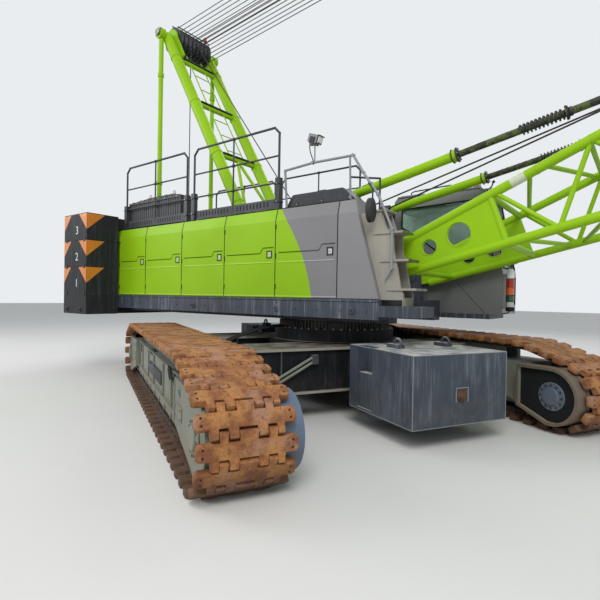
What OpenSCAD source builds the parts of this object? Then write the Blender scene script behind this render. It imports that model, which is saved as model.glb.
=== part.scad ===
// Lattice-boom crane on tracks. Millimetres, +X forward along the upper works, +Y left, +Z up.
// The origin is on the ground on the slewing axis.

/* [Undercarriage] */
// Angle that the undercarriage stands turned under the upper works
under_turn = -27.4; // [-90:0.1:90]
// Middle of the right track, from the slewing axis
right_track_y = 3065; // [3000:5:3100]
// Middle of the left track, whose side frame stands pushed in
left_track_y = 2200; // [2190:5:3100]
// Width of one track shoe
shoe_w = 950; // [850:10:1000]
// Height of a track over its shoes
track_h = 1270; // [1250:2:1290]
// Half of the distance between a track's two tumblers
tumbler_x = 3435; // [3400:5:3500]
// Radius over the shoes at a tumbler, which is also the height of its shaft
tumbler_r = 530; // [526:2:540]
// Angle that the track slopes down at from its top run to a tumbler
slope_angle = 15.5; // [15:0.1:16]
// Radius over the shoes where the top run bends down
skid_r = 1500; // [1400:20:1600]
// Number of shoes in one track
shoe_count = 68; // [64:1:70]
// Thickness of a shoe's pad
shoe_t = 96; // [80:2:110]
// Length of a shoe's pad along the track
pad_len = 150; // [140:1:180]
// Width of the links that the shoes are cast on
belt_w = 560; // [500:10:600]
// Width of the shoes' middle band, which closes up from shoe to shoe
band_w = 700; // [660:10:760]
// Height of a side frame's box
frame_box_h = 520; // [480:10:520]
// Radius of the nose plates at a side frame's ends
nose_r = 412; // [400:2:412]
// Radius of a bottom roller
roller_r = 130; // [110:2:134]
// Number of bottom rollers in one side frame
roller_count = 11; // [7:1:12]
// Radius of the carbody's drum
drum_r = 1260; // [1200:10:1300]
// Height of the carbody's top, where the slewing ring sits
carbody_top = 1330; // [1320:5:1345]
// Height of the top flanges of the carbody's cross beams
beam_top = 1110; // [1060:10:1150]
// Height of the bottom of the carbody's cross beams
beam_bottom = 410; // [380:10:450]
// Front face of a carbody weight, from the slewing axis
weight_front = 3382; // [3300:2:3450]
// Length of a carbody weight
weight_len = 1464; // [1300:2:1500]
// Half width of a carbody weight
weight_half_w = 794; // [700:2:850]
// Height of a carbody weight's underside
weight_bottom = 280; // [250:5:320]
// Height of a carbody weight's top
weight_top = 1200; // [1150:5:1230]

/* [Upper works] */
// Half width of the machinery houses
house_half_w = 1500; // [1450:5:1550]
// Height of the underside of the side decks
deck_bottom = 1570; // [1540:5:1600]
// Height of the decks
deck_top = 1870; // [1840:5:1900]
// Rear edge of the side decks
deck_rear = -5350; // [-5352:1:-5300]
// Front edge of the right side deck
deck_front = 1750; // [1700:5:1800]
// Height of the machinery houses' roof
roof_z = 3410; // [3350:5:3450]
// Height where the houses' side walls start to lean in
lean_z = 3200; // [3150:5:3250]
// How far the leaning top of the side wall comes in
lean_in = 55; // [20:5:90]
// Rear edge of the rearmost door on the right side
door_start = -5348; // [-5349:1:-5300]
// Distance from one door's rear edge to the next one's
door_pitch = 1275; // [1200:1:1280]
// Thickness of doors and house walls
door_t = 45; // [35:1:60]
// Gap between neighbouring doors
door_gap = 12; // [10:1:20]
// Width of each house behind its outer wall, up to the winch bay
house_w = 620; // [600:5:640]
// Counterweight's front face
cw_front = -5151; // [-5160:1:-5140]
// Counterweight's rear face
cw_rear = -6900; // [-7100:5:-6800]
// Half width of the counterweight
cw_half_w = 2295; // [2200:5:2350]
// Height of the counterweight tray's underside
cw_bottom = 1420; // [1400:5:1450]
// Height of the lowest counterweight layer's underside
cw_layers_bottom = 1900; // [1880:5:1920]
// Height of one counterweight layer
cw_layer_h = 606; // [580:2:620]

/* [Cab] */
// Rear face of the cab
cab_rear = 720; // [700:5:760]
// Front face of the cab at its floor
cab_front = 2830; // [2760:5:2900]
// Right side of the cab
cab_right = 1100; // [1090:5:1150]
// Width of the cab
cab_w = 1000; // [950:5:1050]
// Height of the cab's underside
cab_floor = 1640; // [1630:5:1680]
// Height of the cab's roof
cab_roof = 3960; // [3900:5:4000]
// Thickness of the cab's walls
cab_wall = 42; // [30:1:60]

/* [Boom] */
// Boom's angle above level, as parked
boom_angle = 19.4; // [0:0.1:60]
// Distance of the boom's foot pins in front of the slewing axis
foot_x = 1250; // [1200:5:1300]
// Height of the boom's foot pins
foot_z = 2300; // [2260:5:2340]
// Sideways distance of the chords from the boom's middle plane
chord_y = 930; // [900:5:950]
// Diameter of the chords
chord_d = 130; // [110:2:150]
// Diameter of the lacing tubes
lace_d = 64; // [50:2:76]
// Half depth of the boom's chord planes at its foot pins
foot_half_depth = 167; // [150:1:180]
// Growth of the half depth for each millimetre along the butt section
depth_growth = 0.09; // [0.08:0.001:0.1]
// Length of the butt section
butt_len = 7000; // [6800:50:7200]
// Length of the insert section
insert_len = 6000; // [5000:100:7000]
// Length of the top section, to the head sheaves' shaft
top_len = 9000; // [8000:100:10000]
// Radius of the foot pins
foot_pin_r = 70; // [50:1:80]
// Radius of the boom head's sheaves
head_sheave_r = 360; // [300:5:380]
// Distance of the head sheaves' shaft below the boom's middle line
head_drop = 500; // [460:5:540]
// Radius of the bore for a jib's foot pin in the boom head
jib_bore_r = 40; // [30:1:50]

/* [Gantry and stays] */
// Foot of the gantry's legs, from the slewing axis
gantry_foot_x = -1000; // [-1100:10:-900]
// Head of the gantry, from the slewing axis
gantry_head_x = -4580; // [-4650:10:-4500]
// Height of the gantry's head
gantry_head_z = 8200; // [8000:10:8400]
// Sideways distance of the gantry's legs
gantry_leg_y = 640; // [630:5:650]
// Diameter of the gantry's legs
gantry_leg_d = 250; // [200:5:260]
// Sideways distance of the gantry's back stays
stay_y = 815; // [812:1:817]
// Lower pivot of the backstops, from the slewing axis
backstop_x = 750; // [740:5:770]
// Height of the backstops' lower pivot
backstop_z = 3630; // [3600:5:3660]
// Angle of the backstops above level, as parked
backstop_angle = 12; // [11:0.1:13]
// Sideways distance of the backstops
backstop_y = 760; // [740:5:780]
// Outer diameter of the backstop tubes
backstop_tube_d = 150; // [140:2:160]
// Diameter of the backstop rods
backstop_rod_d = 100; // [80:2:110]
// Length of a backstop tube from its pivot to its collar
backstop_tube_len = 1900; // [1850:10:1950]
// Length from a backstop's lower pivot to its rod's eye
backstop_len = 4090; // [4040:10:4140]

/* [Hidden] */
$fn = 48;
// Clearance between pieces that are seated on each other
seat = 0.3;
girder_out = 1078;

lime = "#93c41a";
grey = "#8c8a8c";
dark = "#3a3d46";
rust = "#a8703c";
pale = "#b9b5aa";

// Undercarriage values
skid_pitch = skid_r - shoe_t / 2;
tumbler_pitch = tumbler_r - shoe_t / 2;
skid_z = track_h - skid_r;
skid_x = tumbler_x - (skid_r - tumbler_r - (tumbler_r - skid_z) * cos(slope_angle)) / sin(slope_angle);
skid_arc = skid_pitch * slope_angle * PI / 180;
slope_len = sqrt(pow(tumbler_x - skid_x, 2) + pow(tumbler_r - skid_z, 2) - pow(skid_r - tumbler_r, 2));
tumbler_arc = tumbler_pitch * (180 - slope_angle) * PI / 180;
half_run = skid_x + skid_arc + slope_len + tumbler_arc + tumbler_x;
track_run = 2 * half_run;
shoe_pitch = track_run / shoe_count;
link_depth = 50;
nose_y = belt_w / 2 + 20;
nose_t = 70;
nose_inner = 595;
frame_half_w = belt_w / 2 + 10;
frame_box_bottom = 410;
frame_box_half_l = tumbler_x - 580;
skirt_t = 55;
weight_rear = weight_front - weight_len;
beam_x = 1100;
beam_half_w = 400;
flange_t = 40;

// Upper works values
bay_y = house_half_w - house_w;
front_bay_y = 1090;
door_top_z = roof_z - 6;
door_bottom_z = deck_top + 14;
girder_bottom = 1500;

// Boom values
boom_len = butt_len + insert_len + top_len;
full_half_depth = foot_half_depth + depth_growth * butt_len;
head_half_w = 420;
head_half_depth = 300;
tip_x = foot_x + boom_len * cos(boom_angle) + head_drop * sin(boom_angle);
tip_z = foot_z + boom_len * sin(boom_angle) - head_drop * cos(boom_angle);

// Basic shapes
module tube(p, q, d) {
    v = q - p;
    l = norm(v);
    translate(p) rotate([0, acos(v[2] / l), atan2(v[1], v[0])]) cylinder(d = d, h = l);
}

module run(points, d) {
    for (i = [0 : len(points) - 2]) tube(points[i], points[i + 1], d);
    for (i = [1 : len(points) - 2]) translate(points[i]) sphere(d = 1.12 * d);
}

module box(lo, hi) {
    translate(lo) cube(hi - lo);
}

// A disc or pin lying along Y between two places
module cross_pin(x, z, y0, y1, r) {
    translate([x, y0, z]) rotate([-90, 0, 0]) cylinder(r = r, h = y1 - y0);
}

// An outline in X and Z, given its thickness along Y
module side_plate(y0, y1) {
    translate([0, y1, 0]) rotate([90, 0, 0]) linear_extrude(y1 - y0) children();
}

module undercarriage_frame() {
    rotate([0, 0, under_turn]) children();
}

module both_sides() {
    children();
    mirror([0, 1, 0]) children();
}

// Track: the place at a distance along its run from the middle of the top, set outwards from the pitch line
function wrap(s) = s - track_run * floor(s / track_run);
function skid_place(a, out) = [skid_x + (skid_pitch + out) * sin(a), skid_z + (skid_pitch + out) * cos(a)];
function tumbler_place(a, out) = [tumbler_x + (tumbler_pitch + out) * sin(a), tumbler_r + (tumbler_pitch + out) * cos(a)];
slope_start = skid_x + skid_arc;
slope_end = slope_start + slope_len;
arc_end = slope_end + tumbler_arc;
function half_track(s, out) =
    s < skid_x ? [s, track_h - shoe_t / 2 + out] :
    s < slope_start ? skid_place(slope_angle * (s - skid_x) / skid_arc, out) :
    s < slope_end ? skid_place(slope_angle, out) + (s - slope_start) * [cos(slope_angle), -sin(slope_angle)] :
    s < arc_end ? tumbler_place(slope_angle + (180 - slope_angle) * (s - slope_end) / tumbler_arc, out) :
    [tumbler_x - (s - arc_end), shoe_t / 2 - out];
function on_track(s, out) =
    s < half_run ? half_track(s, out) : let (p = half_track(track_run - s, out)) [-p[0], p[1]];

function pad_outline(i) =
    let (s = i * shoe_pitch, h = pad_len / 2, a = wrap(s - h), b = wrap(s + h), t = shoe_t / 2)
    [on_track(a, -t), on_track(a, t), on_track(b, t), on_track(b, -t)];

function belt_outline(out) = [for (i = [0 : shoe_count - 1]) on_track(wrap((i + 0.5) * shoe_pitch), out)];

module belt_ring(width, outer, inner) {
    side_plate(-width / 2, width / 2) difference() {
        polygon(belt_outline(outer));
        polygon(belt_outline(inner));
    }
}

module track() {
    color(rust) {
        for (i = [0 : shoe_count - 1])
            side_plate(-shoe_w / 2, shoe_w / 2) polygon(pad_outline(i));
        belt_ring(band_w, shoe_t / 2 - 4, -shoe_t / 2 - 4);
        belt_ring(belt_w, -shoe_t / 2 + 4, -shoe_t / 2 - link_depth);
    }
}

// Outline of the housing at the inner side of a side frame's end, set in by a distance
function housing(end, inset) = [for (p = concat(
    [for (a = [90 : -10 : -100]) [tumbler_x + (nose_r - 8 - inset) * cos(a), tumbler_r + (nose_r - 8 - inset) * sin(a)]],
    [[2880 + inset, 306 + 0.6 * inset], [2880 + inset, 922 - inset]])) [end * p[0], p[1]]];

// Side frame: a box between the tumblers, nose plates that carry them, and skirts that carry the rollers
module side_frame() {
    box_top = frame_box_bottom + frame_box_h;
    slots = [[-2250, -1750, 700], [-700, -120, 844], [1750, 2250, 700]];
    color(grey) difference() {
        union() {
            box([-frame_box_half_l, -frame_half_w, frame_box_bottom],
                [frame_box_half_l, frame_half_w, box_top]);
            for (side = [-1, 1], end = [-1, 1])
                side_plate(min(side * nose_y, side * (nose_y + nose_t)), max(side * nose_y, side * (nose_y + nose_t)))
                    union() {
                        translate([end * tumbler_x, tumbler_r]) circle(r = nose_r);
                        polygon([[end * tumbler_x, tumbler_r - nose_r + 3], [end * tumbler_x, tumbler_r + nose_r - 20],
                                 [end * 2280, box_top - 4], [end * 2280, frame_box_bottom - 10]]);
                    }
            for (side = [-1, 1], end = [-1, 1])
                box([end * 2600 - 330, side * (nose_y - 5) - 25, frame_box_bottom + 10],
                    [end * 2600 + 200, side * (nose_y - 5) + 25, box_top - 10]);
            for (end = [-1, 1]) side_plate(nose_y + nose_t - 1, nose_inner) polygon(housing(end, 0));
            for (side = [-1, 1])
                box([-frame_box_half_l, side * (frame_half_w - skirt_t / 2) - skirt_t / 2, 250],
                    [frame_box_half_l, side * (frame_half_w - skirt_t / 2) + skirt_t / 2, frame_box_bottom + 1]);
            // Rails that the top run slides on
            for (side = [-1, 1])
                box([-2300, side * 170 - 35, box_top - 1], [2300, side * 170 + 35, track_h - shoe_t - link_depth - seat]);
        }
        for (end = [-1, 1]) side_plate(nose_inner - 60, nose_inner + 1) polygon(housing(end, 35));
        // Openings between the webs on the outer face
        for (s = slots) box([s[0], -frame_half_w - 1, s[2]], [s[1], -frame_half_w + 90, box_top + 1]);
    }
}

module tumblers() {
    rim_r = tumbler_r - shoe_t - link_depth - 17;
    color(dark) for (end = [-1, 1]) translate([end * tumbler_x, 0, tumbler_r]) rotate([-90, 0, 0]) {
        translate([0, 0, -200]) cylinder(r = rim_r, h = 120);
        translate([0, 0, 80]) cylinder(r = rim_r, h = 120);
        translate([0, 0, -nose_y + seat]) cylinder(r = 230, h = 2 * (nose_y - seat));
    }
}

module rollers() {
    span = frame_half_w - skirt_t - seat;
    first = -frame_box_half_l + roller_r + 60;
    step = -2 * first / (roller_count - 1);
    z = shoe_t + link_depth + roller_r + seat;
    color(dark) for (i = [0 : roller_count - 1]) {
        cross_pin(first + i * step, z, -span, -span + 150, roller_r);
        cross_pin(first + i * step, z, span - 150, span, roller_r);
        cross_pin(first + i * step, z, -span, span, 60);
    }
}

module at_track(side) {
    undercarriage_frame() translate([0, side > 0 ? left_track_y : -right_track_y, 0]) mirror([0, side > 0 ? 1 : 0, 0]) children();
}

module track_right() { at_track(-1) track(); }
module track_left() { at_track(1) track(); }
module side_frame_right() { at_track(-1) side_frame(); }
module side_frame_left() { at_track(1) side_frame(); }
module tumblers_right() { at_track(-1) tumblers(); }
module tumblers_left() { at_track(1) tumblers(); }
module rollers_right() { at_track(-1) rollers(); }
module rollers_left() { at_track(1) rollers(); }

module cross_beam() {
    right = -right_track_y + frame_half_w + seat;
    left = left_track_y - frame_half_w - seat;
    for (end = [-1, 1]) {
        box([end * beam_x - beam_half_w, right, beam_bottom + flange_t],
            [end * beam_x + beam_half_w, left, beam_top - flange_t]);
        for (z = [beam_bottom, beam_top - flange_t])
            box([end * beam_x - beam_half_w - 50, right, z], [end * beam_x + beam_half_w + 50, left, z + flange_t]);
    }
}

module carbody() {
    undercarriage_frame() color(dark) {
        cross_beam();
        translate([0, 0, beam_bottom + 60]) cylinder(r = drum_r, h = beam_top + 20 - beam_bottom - 60);
        translate([0, 0, beam_top]) cylinder(r = drum_r - 120, h = carbody_top - beam_top);
        // Arms that the front and rear weights hang on
        arm_end = weight_rear - seat;
        for (end = [-1, 1], side = [-1, 1])
            box([min(end * 1400, end * arm_end), side * 480 - 70, 620], [max(end * 1400, end * arm_end), side * 480 + 70, 980]);
    }
}

// Slewing ring with its outer teeth
module slew_ring() {
    teeth = 100;
    tip_r = 1060;
    root_r = 1025;
    function tooth(i) = let (a = 360 * i / teeth)
        [for (c = [[-1.1, root_r], [-0.5, tip_r], [0.5, tip_r], [1.1, root_r]]) [c[1] * cos(a + c[0]), c[1] * sin(a + c[0])]];
    undercarriage_frame() color(dark) translate([0, 0, carbody_top + seat]) difference() {
        linear_extrude(130) polygon([for (i = [0 : teeth - 1]) each tooth(i)]);
        translate([0, 0, -1]) cylinder(r = 880, h = 140);
    }
}

module carbody_weight() {
    notch_x = 2130;
    notch_len = 380;
    color(dark) difference() {
        union() {
            box([weight_rear, -weight_half_w, weight_bottom], [weight_front, weight_half_w, weight_top]);
            for (side = [-1, 1])
                box([weight_rear + 500, side * 430 - 60, weight_top - 1], [weight_rear + 760, side * 430 + 60, weight_top + 55]);
        }
        for (side = [-1, 1]) {
            box([notch_x, side * weight_half_w - 150, weight_top - 380], [notch_x + notch_len, side * weight_half_w + 150, weight_top + 1]);
            box([notch_x, side * weight_half_w - 25, weight_bottom + 40], [notch_x + notch_len, side * weight_half_w + 25, weight_top - 379]);
        }
    }
}

module carbody_weight_front() { undercarriage_frame() carbody_weight(); }
module carbody_weight_rear() { undercarriage_frame() rotate([0, 0, 180]) carbody_weight(); }

// Revolving frame: two girders under the houses' inner edges, cross members, and the lugs for boom and gantry
lug_half_gap = 45;
pedestal_in = 80;
pedestal_out = 112;
lug_t = 42;

module boom_lug() {
    for (side = [-1, 1])
        side_plate(chord_y + side * (lug_half_gap + lug_t / 2) - lug_t / 2, chord_y + side * (lug_half_gap + lug_t / 2) + lug_t / 2)
            union() {
                translate([foot_x, foot_z]) circle(r = 165);
                polygon([[foot_x - 165, foot_z], [foot_x + 165, foot_z], [foot_x + 175, deck_top - 20], [foot_x - 420, deck_top - 20]]);
            }
    cross_pin(foot_x, foot_z, chord_y - lug_half_gap - lug_t - 25, chord_y + lug_half_gap + lug_t + 25, foot_pin_r);
}

module revolving_frame() {
    girder_in = 780;
    winch_x = [-50, -1500, -2950];
    color(dark) {
        both_sides() {
            box([-5300, girder_in, girder_bottom], [deck_front - 40, girder_out, deck_top - seat]);
            boom_lug();
            // Gantry foot
            for (y = [gantry_leg_y - gantry_leg_d / 2 - 40, gantry_leg_y + gantry_leg_d / 2 + 5])
                box([gantry_foot_x - 180, y, deck_top - 60], [gantry_foot_x + 180, y + 30, deck_top + 240]);
            // Winch stands
            for (x = winch_x)
                side_plate(470, 500) polygon([[x - 330, deck_top - 60], [x + 330, deck_top - 60], [x + 120, deck_top + 620], [x - 120, deck_top + 620]]);
            // Backstop pedestals
            side_plate(backstop_y - pedestal_out, backstop_y - pedestal_in) polygon([[380, deck_top - 60], [900, deck_top - 60], [backstop_x + 90, backstop_z + 90], [backstop_x - 110, backstop_z + 90]]);
            side_plate(backstop_y + pedestal_in, backstop_y + pedestal_out) polygon([[380, deck_top - 60], [900, deck_top - 60], [backstop_x + 90, backstop_z + 90], [backstop_x - 110, backstop_z + 90]]);
            cross_pin(backstop_x, backstop_z, backstop_y - pedestal_out - 1, backstop_y + pedestal_out + 1, 40);
        }
        box([-5300, -girder_in - 1, girder_bottom + 40], [-5180, girder_in + 1, deck_top - seat]);
        box([-3700, -girder_in - 1, deck_top - 100], [1300, girder_in + 1, deck_top - 40]);
        box([1300, -girder_in - 1, girder_bottom + 60], [1420, girder_in + 1, deck_top - 40]);
        translate([0, 0, girder_bottom - 1]) cylinder(r = 1060, h = 80);
    }
}

// Inner race of the slewing ring, which turns with the upper works
module slew_race() {
    race_bottom = carbody_top + seat;
    color(grey) translate([0, 0, race_bottom]) difference() {
        cylinder(r = 874, h = girder_bottom - 1 - race_bottom - seat);
        translate([0, 0, -1]) cylinder(r = 720, h = 300);
    }
}

module side_deck_right() {
    color(dark) {
        box([deck_rear, -house_half_w, deck_bottom], [deck_front, -girder_out - seat, deck_top - seat]);
        // Step platform in front
        box([deck_front - 1, -house_half_w, deck_bottom + 50], [deck_front + 600, -890, deck_top - 90]);
    }
}

module side_deck_left() {
    color(dark) {
        box([deck_rear, girder_out + seat, deck_bottom], [650, house_half_w, deck_top - seat]);
        // Platform that carries the cab
        box([-400, house_half_w - 1, deck_bottom], [cab_rear - 60, cab_right + cab_w, deck_top - 180]);
        box([cab_rear - 71, girder_out + seat, deck_bottom - 20], [cab_front - 200, cab_right + cab_w - 60, cab_floor - seat]);
    }
}

// Outline across a house: outer wall with its leaning top, set in by a distance
function house_outer(inset) =
    [[-house_half_w + inset, deck_top], [-house_half_w + inset, lean_z - inset / 8], [-house_half_w + lean_in + inset, roof_z]];

module across(x0, x1) {
    translate([x0, 0, 0]) rotate([90, 0, 90]) linear_extrude(x1 - x0) children();
}

function house_section(inset, inner_y) =
    [for (p = house_outer(inset)) p, [inner_y, roof_z], [inner_y, deck_top]];

function house_hollow(inset, inner_y) =
    [[-house_half_w + inset, deck_top + 30], [-house_half_w + inset, lean_z], [-house_half_w + lean_in + inset, roof_z - door_t],
     [inner_y - door_t, roof_z - door_t], [inner_y - door_t, deck_top + 30]];

// Front edge of the right house leans back from the deck's front
front_slope = 440 / 1540;
module front_cut() {
    side_plate(-house_half_w - 10, -bay_y + 400) polygon([[deck_front, deck_top], [deck_front + 900, deck_top], [deck_front + 900, roof_z + 60],
        [deck_front - front_slope * (roof_z + 60 - deck_top), roof_z + 60]]);
}

module house_right() {
    skin = door_t + 0.5;
    neck_x = 700;
    color(lime) difference() {
        union() {
            across(door_start, neck_x) polygon(house_section(skin, -bay_y));
            across(neck_x - 1, deck_front) polygon(house_section(skin, -front_bay_y));
        }
        across(door_start + door_t, neck_x - door_t) polygon(house_hollow(skin + door_t, -bay_y));
        across(neck_x - door_t - 1, deck_front - 560) polygon(house_hollow(skin + door_t, -front_bay_y));
        // Door openings
        for (i = [0 : 4]) {
            box([door_x(i) + 70, -house_half_w - 5, deck_top + 90], [door_end(i) - 70, -house_half_w + 180, lean_z - 60]);
        }
        front_cut();
    }
}

// Section of a door leaf: flat, with its top leaning in over the house's wall
function leaf_section() =
    let (out = -house_half_w, top_in = lean_in * (door_top_z - lean_z) / (roof_z - lean_z))
    [[out, door_bottom_z], [out, lean_z], [out + top_in, door_top_z], [out + top_in + door_t, door_top_z],
     [out + door_t, lean_z - 6], [out + door_t, door_bottom_z]];

// Doors' rear edges; the rearmost door starts clear of the counterweight
function door_x(i) = i == 0 ? cw_front + 30 : door_start + i * door_pitch + door_gap / 2;
function door_end(i) = door_start + (i + 1) * door_pitch - door_gap / 2;

// One door with its pressed groove and latch recess
module door_panel(i) {
    groove = 8;
    x = door_x(i);
    x1 = door_end(i);
    latch_x = x1 - 190;
    color(lime) difference() {
        across(x, x1) polygon(leaf_section());
        side_plate(-house_half_w - 1, -house_half_w + groove) polygon([
            [x + 60, 2640], [latch_x - 160, 2640], [latch_x - 90, 2735], [latch_x + 150, 2735],
            [latch_x + 150, 2755], [latch_x - 100, 2755], [latch_x - 168, 2660], [x + 60, 2660]]);
        box([latch_x, -house_half_w - 1, 2560], [latch_x + 110, -house_half_w + 16, 2690]);
    }
    // Hinge barrels
    color(lime) for (z = [2040, 3040]) translate([x, -house_half_w, z]) cylinder(r = 7, h = 130);
    color(dark) box([latch_x + 15, -house_half_w - 4, 2575], [latch_x + 95, -house_half_w + 17, 2675]);
}

module door_1() { door_panel(0); }
module door_2() { door_panel(1); }
module door_3() { door_panel(2); }
module door_4() { door_panel(3); }
module door_5() { door_panel(4); }

module front_panel() {
    x = door_start + 5 * door_pitch + door_gap / 2;
    color(grey) difference() {
        across(x, deck_front) polygon(leaf_section());
        front_cut();
    }
}

module house_left() {
    front_x = 560;
    color(grey) mirror([0, 1, 0]) difference() {
        union() {
            across(deck_rear + 2, front_x) polygon(house_section(0, -bay_y));
            // Raised door leaves, which are latched shut on this side
            for (i = [0 : 2])
                box([deck_rear + 100 + i * door_pitch, -house_half_w - 18, deck_top + 60], [deck_rear + 40 + (i + 1) * door_pitch, -house_half_w + 1, lean_z - 30]);
        }
        for (i = [0 : 7])
            box([-1250 + 0, -house_half_w - 1, deck_top + 300 + i * 120], [-300, -house_half_w + 40, deck_top + 350 + i * 120]);
    }
}

module engine_block() {
    color(dark) box([-4300, -house_half_w + 190, deck_top + 30 + seat], [-2500, -bay_y - door_t - 25, deck_top + 1150]);
}

module roof_cover() {
    z = roof_z + seat;
    color(dark) side_plate(-house_half_w + 134, -front_bay_y) hull() {
        translate([-150, z]) square([1440 - 10, 1]);
        translate([40, z + 170]) circle(r = 60);
        translate([1000, z + 170]) circle(r = 60);
    }
}

module air_outlet() {
    z = roof_z + seat;
    x0 = -4950;
    x1 = -3060;
    y0 = -1350;
    y1 = -920;
    h = 625;
    color(dark) difference() {
        union() {
            box([x0, y0, z], [x1, y1, z + h]);
            hull() {
                box([x0, y0, z + h - 2], [x1, y1, z + h]);
                box([x0 + 560, y0 + 180, z + h + 110], [x1 - 560, y1 - 180, z + h + 112]);
            }
        }
        for (i = [0 : 21]) box([x0 + 60 + i * 82, y0 - 1, z + 60], [x0 + 60 + i * 82 + 38, y0 + 30, z + h - 50]);
    }
}

// Roof guard rails, one table row each: rear end, front end
rail_spans = [[-5000, -2780], [-2550, -280]];
rail_y = 1400;
module guard_rail(x0, x1) {
    d = 42;
    top = 4865;
    y = -rail_y;
    base = roof_z + seat;
    run([[x0, y, base + 400], [x0, y, top - 110], [x0 + 110, y, top], [x1 - 110, y, top], [x1, y, top - 110], [x1, y, base + 400]], d);
    for (z = [base + 480, base + 950]) tube([x0, y, z], [x1, y, z], 32);
    tube([(x0 + x1) / 2, y, base + 100], [(x0 + x1) / 2, y, top], 32);
    for (x = [x0, x1]) box([x - 50, y - 45, base], [x + 50, y + 45, base + 560]);
    box([x0, y - 6, base + 30], [x1, y + 6, base + 200]);
}

module roof_rails() {
    far_y = -front_bay_y - 25;
    color(dark) {
        both_sides() for (r = rail_spans) guard_rail(r[0], r[1]);
        run([[1540, far_y, 3208 + seat], [1540, far_y, 3760], [1000, far_y, 3860], [1000, far_y, roof_z + 230 + 2 * seat]], 32);
    }
}

module roof_walkway() {
    color(dark) for (s = [[-1, rail_y - 50], [1, rail_y - 50]]) {
        y0 = s[0] * s[1];
        y1 = s[0] * (bay_y + 20);
        difference() {
            box([-2480, min(y0, y1), roof_z + seat], [-380, max(y0, y1), roof_z + 40]);
            for (i = [0 : 24]) box([-2420 + i * 80, min(y0, y1) + 40, roof_z - 1], [-2420 + i * 80 + 40, max(y0, y1) - 40, roof_z + 41]);
        }
    }
}

// Steps in front of the right house, one row each: front edge, height, rear edge
step_rows = [[2306, 2010, 1760], [2180, 2432, 1640], [2080, 2844, 1530], [1800, 3180, 1420]];
module front_steps() {
    y0 = rail_line + 20.3;
    y1 = -front_bay_y + 30;
    color(pale) {
        // Side plates on a floor plate, closed along the house and open in front, where the treads stick out
        difference() {
            side_plate(y0 + 20, y1) polygon([[deck_front - front_slope * (3180 - deck_top) + 6, 3180], [deck_front + 4, deck_top + 2],
                [2090, deck_top + 2], [2090, deck_top - 90 + seat], [2102, deck_top - 90 + seat], [2102, 1960], [2059, 2040],
                [1988, 2390], [1935, 2600], [1925, 2844], [1818, 2930], [1732, 3180]]);
            side_plate(y0 + 60, y1 - 40) polygon([[deck_front - front_slope * (3180 - deck_top) + 50, 3150],
                [deck_front + 50, deck_top + 40], [2400, deck_top + 40], [2400, 3150]]);
        }
        for (r = step_rows) box([r[2] + 90, y0, r[1]], [r[0], y1, r[1] + 28]);
    }
}

rail_line = -1462;
module front_rail() {
    y = rail_line;
    foot = roof_z + seat + 2.4;
    color(grey) {
        run([[-100, -1390, foot], [-90, y, 4050], [490, y, 4090], [1260, y, 4080], [1440, y, 3790], [1700, y, 3420], [1930, y, 2897], [1930, y, 2330], [1840, y, 2180]], 40);
        tube([1180, -1390, foot], [1200, y, 4080], 32);
    }
}

module mirror_bracket() {
    run([[1580, rail_line - 20.4, 3590], [1580, -1545, 3590], [1650, -1545, 3500], [1650, -1545, 3010]], 24);
}

module rear_mirror() {
    color(dark) {
        mirror_bracket();
        translate([1620, -1590, 3180]) rotate([90, 0, 90]) linear_extrude(60)
            polygon([for (a = [0 : 15 : 345]) [105 * cos(a), 180 * sin(a)]]);
    }
}

module work_lamp() {
    color(grey) {
        tube([530, rail_line, 4110], [530, rail_line, 4390], 24);
        box([440, rail_line - 40, 4380], [620, rail_line + 40, 4400]);
        translate([530, rail_line, 4470]) rotate([0, 20, 0]) cube([190, 130, 130], center = true);
    }
}

// Counterweight outline in plan, one side
function cw_half(inner) = [[cw_front, inner], [cw_front, cw_half_w], [cw_rear + 710, cw_half_w], [cw_rear, cw_half_w - 640], [cw_rear, inner]];

module counterweight_tray() {
    color(dark) {
        translate([0, 0, cw_bottom]) linear_extrude(cw_layers_bottom - cw_bottom - seat) polygon([
            [cw_front, house_half_w + 30], [cw_front, cw_half_w], [cw_rear + 710, cw_half_w], [cw_rear, cw_half_w - 640],
            [cw_rear, -cw_half_w + 640], [cw_rear + 710, -cw_half_w], [cw_front, -cw_half_w], [cw_front, -house_half_w - 30],
            [deck_rear - 12, -house_half_w - 30], [deck_rear - 12, house_half_w + 30]]);
        // Hook arms to the revolving frame
        both_sides() box([deck_rear - 13, 800, cw_bottom + 120], [-5300 - seat, 1050, cw_layers_bottom - 60]);
    }
}

module cw_layer(i) {
    z = cw_layers_bottom + i * cw_layer_h;
    color(dark) both_sides() difference() {
        translate([0, 0, z]) linear_extrude(cw_layer_h - seat) difference() {
            polygon(cw_half(700));
            polygon([[deck_rear - 12, -1], [deck_rear - 12, house_half_w + 30], [cw_front + 1, house_half_w + 30], [cw_front + 1, -1]]);
        }
        // Lifting eye
        cross = [cw_rear + 950, 1500, z + cw_layer_h];
        translate(cross) cylinder(r = 120, h = 200, center = true);
    }
    color(dark) both_sides() cross_pin(cw_rear + 950, z + cw_layer_h - 60, 1500 - 119, 1500 + 119, 28);
}

module counterweight_layer_1() { cw_layer(0); }
module counterweight_layer_2() { cw_layer(1); }
module counterweight_layer_3() { cw_layer(2); }

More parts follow.
